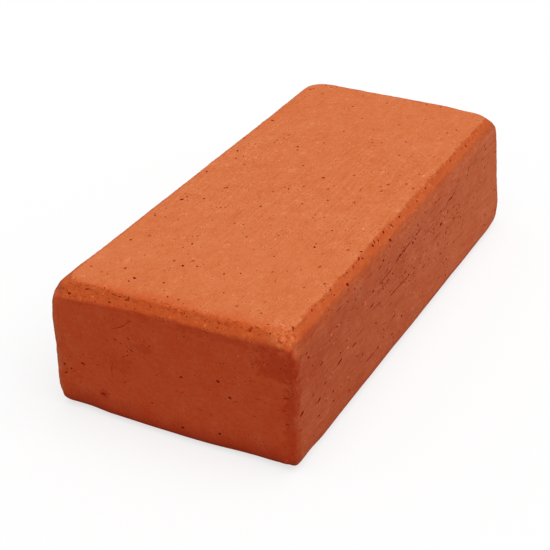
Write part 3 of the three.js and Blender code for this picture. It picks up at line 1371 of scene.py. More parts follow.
    def header_share(self, places: np.ndarray) -> np.ndarray:
        """How much each place belongs to a header rather than to a stretcher.

        Args:
            places: one row a place, in millimetres.

        Returns:
            Shares between 0 and 1.
        """
        rim = self.rim_width * (places[:, 0] < 0.0) * (places[:, 1] > 0.0)
        to_header = self.half_length - np.abs(places[:, 0]) + rim
        long, short = ragged_noise(places, *self.HEADER_WAVES)
        nearer = self._from_stretcher(places) - to_header + (long + short)
        return smooth_step(*self.header_border, nearer)

    def _from_stretcher(self, places: np.ndarray) -> np.ndarray:
        """How far each place lies inside the nearer one of the leaning stretchers."""
        lean = self.stretcher_lean * (places[:, 2] - self.lean_from)
        return self.half_width - lean - np.abs(places[:, 1])

    def zone_share(self, zone: Zone, places: np.ndarray) -> np.ndarray:
        """How much of a relief each place takes.

        Args:
            zone: the zone.
            places: one row a place, in millimetres.

        Returns:
            Shares between 0 and 1.
        """
        along, across, up = places.T
        inside = self.inside_brow(places)
        below = self.below_shoulder(places)
        header = self.header_share(places)
        upper = up > self.height - self.UPPER_DEPTH
        on_side = smooth_step(*self.side_start, below) * smooth_step(*self.side_foot, up)
        calm = 1.0 - self.far_side_calm * smooth_step(*self.far_side, across)
        calm = calm * (1.0 - self.far_end_calm * smooth_step(*self.far_end, along))
        if zone is Zone.BEDS:
            lower = smooth_step(*self.lower_bed_start, inside) * (up < self.FOOT_HEIGHT)
            return smooth_step(*self.upper_bed_start, inside) * upper + lower
        if zone is Zone.STRETCHERS:
            return on_side * (1.0 - header)
        if zone is Zone.HEADERS:
            return on_side * header
        if zone is Zone.PAST_LIP:
            past = smooth_step(*self.past_lip, self.inside_lip(places))
            past = (1.0 - self.header_lip_calm * header) * upper * past
            return past * smooth_step(*self.past_lip_end, inside)
        if zone is Zone.BROW:
            return calm * upper * hump(inside, *self.brow_line)
        if zone is Zone.CHAMFER:
            above = smooth_step(*self.chamfer_end, below)
            return calm * upper * smooth_step(*self.chamfer_start, inside) * above
        if zone in (Zone.NEAR_RIDGES, Zone.CHAMFER_END):
            near = upper * smooth_step(*self.near_end, along) * header
            near = near * smooth_step(*self.near_brow, inside) * smooth_step(*self.near_shoulder, below)
            side = self.ridges_side if zone is Zone.NEAR_RIDGES else self.crumbs_side
            return near * smooth_step(*side, across)
        if zone is Zone.SHOULDER:
            crisp = self.stretcher_shoulder + (1.0 - self.stretcher_shoulder) * header
            return calm * crisp * hump(below, *self.shoulder_line)
        if zone is Zone.SIDE_SHOULDERS:
            return (1.0 - header) * (across < 0.0) * hump(below, *self.side_shoulder_line)
        if zone is Zone.UPRIGHTS:
            to_edge = np.hypot(self.half_length - np.abs(along), self._from_stretcher(places))
            upright = calm * smooth_step(*self.upright_start, to_edge)
            return upright * smooth_step(*self.upright_foot, up)
        if zone is Zone.NEAR_CORNER:
            inset = np.array(self.near_corner)
            corner = inset * (1.0, 1.0, -1.0) + (-self.half_length, -self.half_width, self.height)
            away = np.linalg.norm(places - corner, axis=1)
            return smooth_step(*self.near_corner_start, away)
        return np.ones(len(places))

    # ---- wear

    def _push_relief(self, block: Object, relief: Relief) -> None:
        """Pushes the surface in and out by one relief.

        Args:
            block: the body so far.
            relief: the relief.
        """
        group = block.vertex_groups.new(name=relief.name)
        shares = self.zone_share(relief.zone, vertex_places(block))
        for index in np.nonzero(shares > self.LEAST_SHARE)[0]:
            group.add([int(index)], float(shares[index]), "REPLACE")
        push = block.modifiers.new(relief.name, "DISPLACE")
        push.strength = relief.depth * MM
        push.mid_level = relief.level
        push.vertex_group = group.name
        guide = add_object(bpy.ops.object.empty_add, "guide")
        if relief.feature:
            clouds = bpy.data.textures.new(relief.name, "CLOUDS")
            clouds.noise_scale = relief.feature * MM
            clouds.noise_depth = relief.fineness
            guide.scale = relief.stretch
            bpy.context.view_layer.update()
            push.texture = clouds
            push.texture_coords = "OBJECT"
            push.texture_coords_object = guide
        else:
            push.strength = -relief.depth * MM
            push.mid_level = 0.0
        apply_modifier(block, push)
        block.vertex_groups.clear()
        remove_object(guide)

    def _record_wear(self, block: Object, smooth: np.ndarray) -> None:
        """Keeps how far each place lies below its surroundings, in millimetres.

        Args:
            block: the mesh.
            smooth: where its vertices were before the fine reliefs.
        """
        mesh = block.data
        normals = np.empty(len(mesh.vertices) * 3)
        mesh.vertices.foreach_get("normal", normals)
        sunk = np.sum((smooth - vertex_places(block)) * normals.reshape(-1, 3), axis=1)
        pairs = edge_ends(block)
        ends, others = pairs.ravel(), pairs[:, ::-1].ravel()
        neighbours = np.bincount(ends, minlength=len(sunk))
        around = sunk.copy()
        for _ in range(self.WEAR_STEPS):
            around = np.bincount(ends, around[others], len(sunk)) / neighbours
        keep_values(block, "worn", "POINT", sunk - around)

    def _wear(self, block: Object) -> None:
        """Rubs the facets flat, wears the corners in and lets the lower bed lie flat.

        Args:
            block: the body so far.
        """
        places = vertex_places(block)
        for facet in self.facets:
            outward = np.array(facet.outward)
            outward /= np.linalg.norm(outward)
            proud = (places - np.array(facet.point)) @ outward
            places -= np.maximum(proud, 0.0)[:, None] * outward
        for knock in self.knocks:
            away = np.linalg.norm(places - np.array(knock.centre), axis=1)
            share = smooth_step(knock.reach, 0.0, away)
            places += share[:, None] * np.array(knock.push)
        places[:, 2] = np.maximum(places[:, 2], 0.0)
        set_vertex_places(block, places)

    def _make_marks(self, block: Object) -> None:
        """Cuts the pits and grooves, joins the crumbs, and marks their faces.

        Args:
            block: the body so far.
        """
        marks = Marks(block, (0.0, 0.0, self.height / 2), self.inside_lip)
        pits, grooves, crumbs = marks.tools()
        steps = (
            (pits, "DIFFERENCE", self.PIT_SLOT),
            (grooves, "DIFFERENCE", self.GROOVE_SLOT),
            (crumbs, "UNION", self.CRUMB_SLOT),
        )
        for item in (block, pits, grooves, crumbs):
            for _ in range(len(steps) + 1):
                item.data.materials.append(None)
        for tool, operation, slot in steps:
            slots = np.full(len(tool.data.polygons), slot, dtype=np.int32)
            tool.data.polygons.foreach_set("material_index", slots)
            cut = block.modifiers.new("Marks", "BOOLEAN")
            cut.operation = operation
            cut.solver = "MANIFOLD"
            cut.object = tool
            cut.material_mode = "INDEX"
            apply_modifier(block, cut)
            LOG.info("%s: %d triangles more", operation.lower(), len(tool.data.polygons))
            remove_object(tool)

    def _drop_chips(self, block: Object) -> None:
        """Removes any chip that the cuts set free from the body.

        Args:
            block: the body so far.
        """
        edit_at(block, np.argmax(vertex_places(block)[:, 0]))
        bpy.ops.mesh.select_linked()
        bpy.ops.mesh.select_all(action="INVERT")
        bpy.ops.mesh.delete(type="VERT")
        bpy.ops.object.mode_set(mode="OBJECT")

    def _record_masks(self, block: Object) -> None:
        """Keeps what the finish needs to know of each place as attributes.

        Args:
            block: the body so far.
        """
        mesh = block.data
        places = vertex_places(block)
        masks = {
            "inside_lip": self.inside_lip(places),
            "below_shoulder": self.below_shoulder(places),
            "header_share": self.header_share(places),
        }
        for name, values in masks.items():
            keep_values(block, name, "POINT", values)
        slots = np.empty(len(mesh.polygons), dtype=np.int32)
        mesh.polygons.foreach_get("material_index", slots)
        corners = np.empty(len(mesh.polygons), dtype=np.int32)
        mesh.polygons.foreach_get("loop_total", corners)
        cut = {"hollow": self.PIT_SLOT, "groove": self.GROOVE_SLOT, "crumb": self.CRUMB_SLOT}
        for name, slot in cut.items():
            keep_values(block, name, "CORNER", np.repeat(slots == slot, corners))
        mesh.polygons.foreach_set("material_index", np.zeros(len(mesh.polygons), dtype=np.int32))
        mesh.materials.clear()

    def _warp(self, block: Object) -> None:
        """Moves the corners of the whole block a little, as drying and firing do.

        Args:
            block: the body so far.
        """
        size = Vector((self.half_length * 2, self.half_width * 2, self.height)) * MM
        middle = (0.0, 0.0, size.z / 2)
        cage = add_object(bpy.ops.object.add, "cage", type="LATTICE", location=middle)
        cage.scale = size
        for way in "uvw":
            setattr(cage.data, f"interpolation_type_{way}", "KEY_LINEAR")
        for point in cage.data.points:
            sign_x = 1 if point.co.x > 0 else -1
            sign_y = 1 if point.co.y > 0 else -1
            upper = 1 if point.co.z > 0 else 0
            moved = self.warp[(sign_x, sign_y, upper)]
            shift = Vector([moved[i] * MM / size[i] for i in range(3)])
            point.co_deform = point.co + shift
        bpy.context.view_layer.update()
        bend = block.modifiers.new("Warp", "LATTICE")
        bend.object = cage
        apply_modifier(block, bend)
        remove_object(cage)

    def _fin_tips(self, block: Object) -> np.ndarray:
        """Finds the tips of fins, where two triangles lie back to back.

        The cuts leave points in which only two faces meet. Where both faces are split
        across such a point, their two triangles enclose nothing.

        Args:
            block: the body.

        Returns:
            The numbers of the points that are such tips.
        """
        mesh = block.data
        mesh.calc_loop_triangles()
        corners = np.empty(len(mesh.loop_triangles) * 3, dtype=np.int32)
        mesh.loop_triangles.foreach_get("vertices", corners)
        kinds, counts = np.unique(np.sort(corners.reshape(-1, 3), axis=1), axis=0, return_counts=True)
        doubled = kinds[counts > 1]
        edges_met = np.bincount(edge_ends(block).ravel(), minlength=len(mesh.vertices))
        return np.unique(doubled[edges_met[doubled] == 2])

    def _remove_fins(self, block: Object) -> None:
        """Dissolves the tips of all fins, so that no faces lie back to back.

        Args:
            block: the body so far.
        """
        for _ in range(self.MEND_ROUNDS):
            tips = self._fin_tips(block)
            if not len(tips):
                break
            edit_at(block, tips)
            bpy.ops.mesh.dissolve_verts()
            bpy.ops.object.mode_set(mode="OBJECT")
            LOG.info("fins: %d removed", len(tips))

    def build(self) -> Object:
        """Makes the whole body.

        Returns:
            The finished mesh object, without its material.
        """
        block = self._gridded_block()
        LOG.info("block: %d faces", len(block.data.polygons))
        self._press_to_form(block)
        for relief in BROAD_RELIEFS:
            self._push_relief(block, relief)
        smooth = vertex_places(block)
        for relief in FINE_RELIEFS:
            self._push_relief(block, relief)
        self._record_wear(block, smooth)
        self._wear(block)
        self._make_marks(block)
        self._drop_chips(block)
        self._record_masks(block)
        self._warp(block)
        self._remove_fins(block)
        select_only(block)
        bpy.ops.object.shade_smooth_by_angle(angle=math.radians(self.crease_angle))
        return block


# ---- the finish

# An amount where a share is 0, and how much it changes by where the share is 1.
Shift = tuple[float, float]


class Signal:
    """A value that nodes work out, and that formulas can use like a number."""

    def __init__(self, sheet: "NodeSheet", socket: NodeSocket) -> None:
        """Wraps one output of a node on a sheet."""
        self.sheet = sheet
        self.socket = socket

    def __add__(self, other: object) -> "Signal":
        """Both values together."""
        return self.sheet.math("ADD", self, other)

    def __sub__(self, other: object) -> "Signal":
        """This value less the other one."""
        return self.sheet.math("SUBTRACT", self, other)

    def __rsub__(self, other: object) -> "Signal":
        """The other value less this one."""
        return self.sheet.math("SUBTRACT", other, self)

    def __mul__(self, other: object) -> "Signal":
        """This value times the other one."""
        return self.sheet.math("MULTIPLY", self, other)

    def __truediv__(self, other: object) -> "Signal":
        """This value over the other one."""
        return self.sheet.math("DIVIDE", self, other)

    def __rtruediv__(self, other: object) -> "Signal":
        """The other value over this one."""
        return self.sheet.math("DIVIDE", other, self)

    def shift(self, amount: Shift) -> "Signal":
        """An amount that this share changes."""
        return self * amount[1] + amount[0]

    def climb(self, low: object, high: object) -> "Signal":
        """A smooth climb from 0 where this value is low to 1 where it is high."""
        limits = {"Value": self, "From Min": low, "From Max": high}
        return self.sheet.value("ShaderNodeMapRange", limits, "Result", interpolation_type="SMOOTHSTEP")

    def between(self, rise: Pair, fall: Pair) -> "Signal":
        """A band, which this value climbs into over one span and out of over the other."""
        return self.climb(*rise) * self.climb(*fall)


class NodeSheet:
    """Adds and joins the nodes of one material, world or node group."""

    def __init__(self, tree: NodeTree) -> None:
        """Works on one node tree."""
        self.tree = tree

    def feed(self, socket: NodeSocket, value: object) -> None:
        """Feeds an input, or sets it to a plain value.

        Args:
            socket: the input.
            value: a signal, an output socket, a node for its first output, a number,
                or three numbers for a colour or a vector.
        """
        if isinstance(value, Signal):
            value = value.socket
        if isinstance(value, Node):
            value = value.outputs[0]
        if isinstance(value, NodeSocket):
            self.tree.links.new(value, socket)
        else:
            socket.default_value = (*value, 1.0) if socket.type == "RGBA" else value

    def add(self, kind: str, inputs: dict[str | int, object], **settings: object) -> Node:
        """Adds a node.

        Args:
            kind: the node's type name.
            inputs: what to feed its inputs.
            settings: values for the node's own properties.

        Returns:
            The node.
        """
        node = self.tree.nodes.new(kind)
        for name, value in settings.items():
            setattr(node, name, value)
        for key, value in inputs.items():
            self.feed(node.inputs[key], value)
        return node

    def value(
        self, kind: str, inputs: dict[str | int, object], output: str | int = 0, **settings: object
    ) -> Signal:
        """Adds a node, like add does, and gives one of its outputs."""
        return Signal(self, self.add(kind, inputs, **settings).outputs[output])

    def math(self, operation: str, first: object, second: object = 0.0) -> Signal:
        """A Math node's result."""
        return self.value("ShaderNodeMath", {0: first, 1: second}, operation=operation)

    def blend(self, share: object, first: object, second: object, how: str = "MIX") -> Signal:
        """Two colours mixed.

        Args:
            share: how much of the second one there is.
            first: the first colour.
            second: the second colour.
            how: the way of mixing.

        Returns:
            The mixed colour.
        """
        inputs = {0: share, 6: first, 7: second}
        return self.value("ShaderNodeMix", inputs, 2, data_type="RGBA", blend_type=how)

    def gain(self, share: object, colour: object, factors: object) -> Signal:
        """A colour that is multiplied by factors where the share says so."""
        return self.blend(share, colour, self.blend(1.0, colour, factors, "MULTIPLY"))

    def axes(self, place: object) -> tuple[Signal, ...]:
        """The three coordinates of a place."""
        return tuple(self.outputs(self.add("ShaderNodeSeparateXYZ", {0: place})).values())

    def attribute(self, name: str) -> Signal:
        """The value of one of the mesh's attributes."""
        return self.value("ShaderNodeAttribute", {}, "Fac", attribute_name=name)

    def outputs(self, node: Node) -> dict[str, Signal]:
        """All of a node's outputs, by name."""
        return {socket.name: Signal(self, socket) for socket in node.outputs}

    def group(self, tree: NodeTree, **inputs: object) -> dict[str, Signal]:
        """Places a node group, feeds its inputs by name and gives its outputs."""
        return self.outputs(self.add("ShaderNodeGroup", inputs, node_tree=tree))


class GroupSheet(NodeSheet):
    """The sheet of a new node group, with named numbers and vectors as inputs."""

    def __init__(self, name: str, outputs: tuple[str, ...], **defaults: object) -> None:
        """Starts a node group.

        Args:
            name: its name.
            outputs: the names of its outputs, which are numbers.
            defaults: the default of each input, or None for a vector.
        """
        super().__init__(bpy.data.node_groups.new(name, "ShaderNodeTree"))
        for label, default in defaults.items():
            kind = "NodeSocketVector" if default is None else "NodeSocketFloat"
            socket = self.tree.interface.new_socket(label, in_out="INPUT", socket_type=kind)
            if default is not None:
                socket.default_value = default
        for label in outputs:
            self.tree.interface.new_socket(label, in_out="OUTPUT", socket_type="NodeSocketFloat")
        self.given = self.outputs(self.add("NodeGroupInput", {}))
        self.result = self.add("NodeGroupOutput", {})

    def give(self, label: str, value: Signal) -> None:
        """Sets one of the group's outputs."""
        self.feed(self.result.inputs[label], value)


# Noise lies around a half, and rarely goes far: this brings it to about -1 to 1.
NOISE_MIDDLE = 0.5
NOISE_GAIN = 3.0
DEEP_LINES = (0.62, 0.74)
# A speck's least radius, its full core and its rim, as shares of the radius it is given.
LEAST_RADIUS = 0.5
CORE_SHARE = 0.4
RIM_OUTSIDE = 2.2
RIM_INSIDE = 1.1
RIMMED_SHARE = 0.6
# Where a stain ends and where it is full, as shares of its reach.
STAIN_BORDER = (1.15, 0.45)


def mottle_group() -> NodeTree:
    """Soft patches, from about -1 to 1.

    Returns:
        The node group.
    """
    sheet = GroupSheet("Mottle", ("Value",), Place=None, Feature=10.0, Detail=2.0)
    given = sheet.given
    inputs = {"Vector": given["Place"], "Scale": 1.0 / given["Feature"], "Detail": given["Detail"]}
    cloud = sheet.value("ShaderNodeTexNoise", inputs, "Fac")
    sheet.give("Value", (cloud - NOISE_MIDDLE) * NOISE_GAIN)
    return sheet.tree


def drag_group() -> NodeTree:
    """Fine lines drawn out along X, with a value from about -1 to 1 and a mask of the deep ones.

    Returns:
        The node group.
    """
    sheet = GroupSheet("Drag lines", ("Value", "Deep"), Place=None, Length=20.0, Width=0.6, Slant=0.0)
    given = sheet.given
    along, across, up = sheet.axes(given["Place"])
    slanted = along * given["Slant"]
    scaled = {
        "X": along / given["Length"],
        "Y": (across + slanted) / given["Width"],
        "Z": (up + slanted) / given["Width"],
    }
    joined = sheet.add("ShaderNodeCombineXYZ", scaled)
    cloud = sheet.value("ShaderNodeTexNoise", {"Vector": joined, "Scale": 1.0, "Detail": 3.0}, "Fac")
    sheet.give("Value", (cloud - NOISE_MIDDLE) * NOISE_GAIN)
    sheet.give("Deep", cloud.climb(*DEEP_LINES))
    return sheet.tree


def speck_group() -> NodeTree:
    """Small round or drawn-out specks, for pinholes and pale flecks, and the rims of some of them, for
    painted highlights.

    Returns:
        The node group.
    """
    defaults = {"Spacing": 3.0, "Radius": 0.3, "Share": 0.5, "Stretch": 1.0}
    sheet = GroupSheet("Specks", ("Mask", "Rim"), Place=None, **defaults)
    given = sheet.given
    along, across, up = sheet.axes(given["Place"])
    drawn_out = sheet.add("ShaderNodeCombineXYZ", {"X": along / given["Stretch"], "Y": across, "Z": up})
    scale = 1.0 / given["Spacing"]
    cells = sheet.add("ShaderNodeTexVoronoi", {"Vector": drawn_out, "Scale": scale}, feature="F1")
    away = sheet.outputs(cells)["Distance"] * given["Spacing"]
    draws = sheet.add("ShaderNodeSeparateColor", {0: cells.outputs["Color"]})
    first, second, third = sheet.outputs(draws).values()
    chosen = sheet.math("LESS_THAN", first, given["Share"])
    radius = given["Radius"] * (second + LEAST_RADIUS)
    disc = away.climb(radius, radius * CORE_SHARE)
    sheet.give("Mask", disc * chosen)
    wide = away.climb(radius * RIM_OUTSIDE, radius * RIM_INSIDE)
    sheet.give("Rim", (wide - disc) * chosen * sheet.math("LESS_THAN", third, RIMMED_SHARE))
    return sheet.tree


def stain_group() -> NodeTree:
    """One soft oval stain with a ragged border.

    Returns:
        The node group.
    """
    sheet = GroupSheet("Stain", ("Mask",), Place=None, Centre=None, Reach=None, Rag=0.0)
    given = sheet.given
    inputs = {0: given["Place"], 1: given["Centre"]}
    moved = sheet.add("ShaderNodeVectorMath", inputs, operation="SUBTRACT")
    scaled = sheet.add("ShaderNodeVectorMath", {0: moved, 1: given["Reach"]}, operation="DIVIDE")
    away = sheet.value("ShaderNodeVectorMath", {0: scaled}, "Value", operation="LENGTH")
    sheet.give("Mask", (away + given["Rag"]).climb(*STAIN_BORDER))
    return sheet.tree


@dataclass(frozen=True)
class Stain:
    """A place on the clay that looks different, with its centre and reach in millimetres."""

    centre: Place
    reach: Place
    strength: float


@dataclass(frozen=True)
class Lines:
    """One kind of drag line, with its length and width in millimetres."""

    length: float
    width: float
    slant: float


@dataclass(frozen=True)
class Specks:
    """A kind of speck, as the spacing and the radius of its small ones and its large ones."""

    sizes: tuple[Pair, Pair]
    stretch: float


@dataclass(frozen=True)
class FiredClayFinish:
    """The look of the fired clay: its tones and how strongly each effect shows.

    A Shift is an amount that changes with a share, such as that of the header. A Pair
    named for a rise, a fall or a span holds the values at which an effect starts and is full.
    """

    # The face tones: the chamfers and the sides are a deeper, darker red than the bed. This is partly
    # the clay's own colour and partly painted shade for the faces that turn away from the light.
    bed: Colour = (0.69, 0.179, 0.059)
    header_chamfer: Colour = (0.62, 0.100, 0.0205)
    stretcher_chamfer: Colour = (0.585, 0.108, 0.026)
    header: Colour = (0.64, 0.082, 0.021)
    # stretcher_far is paler than stretcher_near: painted light, which lightens the stretchers towards
    # +X.
    stretcher_near: Colour = (0.615, 0.118, 0.041)
    stretcher_far: Colour = (0.69, 0.156, 0.058)
    # Painted shade inside the pits that are cut into the mesh, fainter on the header's chamfer.
    hollow: Colour = (0.56, 0.046, 0.012)
    chamfer_hollow_shade: Colour = (0.64, 0.072, 0.018)
    # Painted shade inside the grooves that are cut into the mesh.
    groove: Colour = (0.34, 0.024, 0.006)
    flake: Colour = (0.76, 0.185, 0.058)
    pale_gain: Colour = (1.25, 1.6, 2.0)
    # Pale flecks of the clay, and painted highlights on the rims of pinholes.
    fleck_and_highlight_gain: Colour = (1.32, 1.85, 2.5)
    # Painted shade in the pinholes and in the deep drag lines.
    pinhole_shade_gain: Colour = (0.60, 0.34, 0.24)
    # Painted shade along the stretchers' shoulder, which stands in for a rounder shoulder.
    shoulder_shade_gain: Colour = (0.78, 0.78, 0.76)
    # Painted shade in hollows: deeper red where the surface lies below its surroundings.
    sunk_shade_gain: Colour = (0.80, 0.50, 0.38)
    # Darker red, for the stains and for the painted shade at the foot, at the near upright edge and
    # under the header's chamfer.
    stain_and_shade: Colour = (0.50, 0.045, 0.010)
    # Where the clay is paler it is dustier, so its green and blue vary more than its red.
    tone_spread: Colour = (0.6, 1.65, 2.7)
    header_spread: Colour = (0.3, 2.0, 3.9)
    roughness: float = 0.92
    gloss: float = 0.12

    # Soft patches, as their size in millimetres and their detail.
    broad_patches: Pair = (38.0, 3.0)
    medium_patches: Pair = (9.0, 3.0)
    fine_patches: Pair = (2.2, 3.0)
    grain_patches: Pair = (0.6, 2.0)
    crumb_patches: Pair = (1.2, 2.0)
    bed_lines: Lines = Lines(16.0, 0.5, 0.0)
    end_lines: Lines = Lines(12.0, 0.6, -0.2)
    side_lines: Lines = Lines(14.0, 0.7, 0.03)
    holes: Specks = Specks(((1.7, 0.42), (4.1, 0.75)), 1.5)
    flecks: Specks = Specks(((2.3, 0.38), (5.3, 0.68)), 1.3)

    # The borders between the bed, the chamfer and the sides.
    header_fray: float = 0.4
    header_span: Pair = (0.2, 0.85)
    brow_frays: Pair = (0.7, 0.35)
    lip_place: Shift = (0.45, 0.45)
    lip_softness: Shift = (1.1, 0.5)
    lip_outside: float = -0.9
    shoulder_fray: float = 0.5
    side_start: Shift = (-2.6, 2.3)
    side_full: Shift = (0.6, -0.2)
    stain_rag: float = 0.35
    middle_span: Pair = (85.0, 25.0)

    # The tones.
    # Where the painted light along the stretchers starts and where it is full.
    stretcher_span: Pair = (-115.0, 110.0)
    # Painted shade at the foot of the sides, where the floor shades them.
    foot_span: Pair = (15.0, 1.0)
    foot_share: Shift = (0.2, 0.9)
    chamfer_stain: float = 0.85
    bare_fray: float = 2.5
    bare_span: Pair = (9.0, 0.0)
    bare_along: Pair = (-60.0, -100.0)
    bare_share: float = 0.62
    # The crease: painted shadow just under the lower border of the header's chamfer.
    crease_rise: Pair = (-0.3, 0.4)
    crease_fall: Pair = (2.4, 0.6)
    crease_share: float = 0.3
    # Where the painted shade along the stretchers' shoulder starts and ends.
    shoulder_shade_rise: Pair = (-2.4, -0.9)
    shoulder_shade_fall: Pair = (1.5, -0.1)
    rubbed_span: Pair = (-0.04, -0.22)
    rubbed_share: float = 0.6
    # Where the painted shade in hollows starts and where it is full.
    sunk_span: Pair = (0.02, 0.2)
    sunk_share: float = 0.75

    # What makes the clay lighter and darker.
    end_line_share: float = 0.45
    bed_drag: Shift = (0.4, 0.55)
    header_calm: Shift = (1.0, -0.4)
    grain_share: Shift = (0.9, 0.3)
    side_smear: Shift = (1.0, 0.7)
    broad_light: float = 0.04
    crumb_light: float = 0.18
    medium_light: float = 0.055
    fine_light: float = 0.085
    grain_light: float = 0.17
    line_light: float = 0.15

    # Deep drag lines, pinholes, flecks and the marks that are cut into the mesh.
    scored_span: Pair = (0.1, 0.6)
    scored_share: float = 0.3
    deep_line_share: float = 0.7
    crowd_middle: float = 0.3
    crowd_span: Pair = (-0.1, 0.9)
    hole_share: Shift = (0.16, 0.72)
    small_hole_share: float = 0.7
    small_fleck_share: Shift = (0.7, 0.3)
    fleck_share: Shift = (0.3, -0.03)
    # How strongly the painted highlights on pinhole rims show.
    rim_highlight_share: float = 0.8
    fleck_strength: float = 0.9
    hole_strength: float = 0.9
    crumb_strength: Shift = (0.8, -0.3)
    faint_span: Pair = (3.0, 1.0)
    groove_strength: Shift = (0.75, 0.2)

    # The bump, as the height of each layer in millimetres.
    bump: float = 0.8
    grain_height: float = 0.05
    fine_height: float = 0.06
    line_height: float = 0.06
    hole_height: float = -0.2
    fleck_height: float = 0.12
    roughness_change: float = 0.04

    # Real stains, and two entries of painted shade along the near upright edge.
    stains_and_shade: tuple[Stain, ...] = (
        Stain((-125.0, -50.0, 51.5), (8.0, 12.5, 9.0), 0.65),
        Stain((-125.0, -26.0, 58.0), (8.0, 28.0, 2.6), 0.3),
        # Painted shade along the near upright edge.
        Stain((-125.0, -58.0, 40.0), (6.0, 6.0, 14.0), 0.5),
        Stain((-124.5, -46.0, 60.5), (3.0, 10.0, 2.8), 0.35),
        # Painted shade along the near upright edge.
        Stain((-125.0, -58.0, 24.0), (4.5, 5.5, 42.0), 0.5),
        Stain((-113.0, -57.0, 61.0), (9.0, 4.0, 3.0), 0.25),
        Stain((-125.0, 34.7, 12.7), (6.0, 3.6, 2.6), 0.7),
        Stain((-125.0, 13.5, 42.0), (6.0, 7.0, 2.6), 0.4),
        Stain((-125.0, 24.0, 31.0), (6.0, 6.0, 5.0), 0.25),
        Stain((-113.0, -60.0, 45.0), (16.0, 8.0, 9.0), 0.3),
        Stain((125.0, 34.0, 56.0), (8.0, 22.0, 5.0), 0.25),
        Stain((70.0, 60.0, 50.0), (40.0, 8.0, 7.0), 0.12),
        Stain((-50.0, -20.0, 0.0), (46.0, 24.0, 6.0), 0.4),
    )
    dusted: tuple[Stain, ...] = (
        Stain((-121.0, -51.0, 63.0), (7.0, 8.0, 4.5), 0.5),
    )
    crumbled: tuple[Stain, ...] = (
        Stain((-123.0, 45.0, 62.0), (7.0, 16.0, 7.0), 1.0),
        Stain((-122.0, 24.0, 64.0), (4.0, 12.0, 4.0), 0.7),
        Stain((-120.0, -50.0, 63.0), (8.0, 9.0, 6.0), 1.0),
        Stain((-122.0, -22.0, 64.0), (3.0, 14.0, 3.0), 0.6),
        Stain((122.0, 20.0, 63.0), (6.0, 30.0, 5.0), 0.7),
    )
    scored: tuple[Stain, ...] = (
        Stain((-22.0, -60.0, 44.0), (50.0, 8.0, 11.0), 1.0),
        Stain((44.0, -60.0, 40.0), (24.0, 8.0, 12.0), 0.8),
        Stain((-95.0, -60.0, 48.0), (22.0, 8.0, 9.0), 0.7),
        Stain((-55.0, -60.0, 18.0), (30.0, 8.0, 9.0), 0.5),
        Stain((30.0, 60.0, 42.0), (60.0, 8.0, 12.0), 0.9),
        Stain((-60.0, 60.0, 22.0), (40.0, 8.0, 12.0), 0.8),
    )

    def material(self) -> Material:
        """Makes the material.

        Returns:
            The fired clay material.
        """
        clay = bpy.data.materials.new("fired_clay")
        clay.use_nodes = True
        ClayNodes(self, NodeSheet(clay.node_tree)).finish(clay.node_tree.nodes["Principled BSDF"])
        return clay


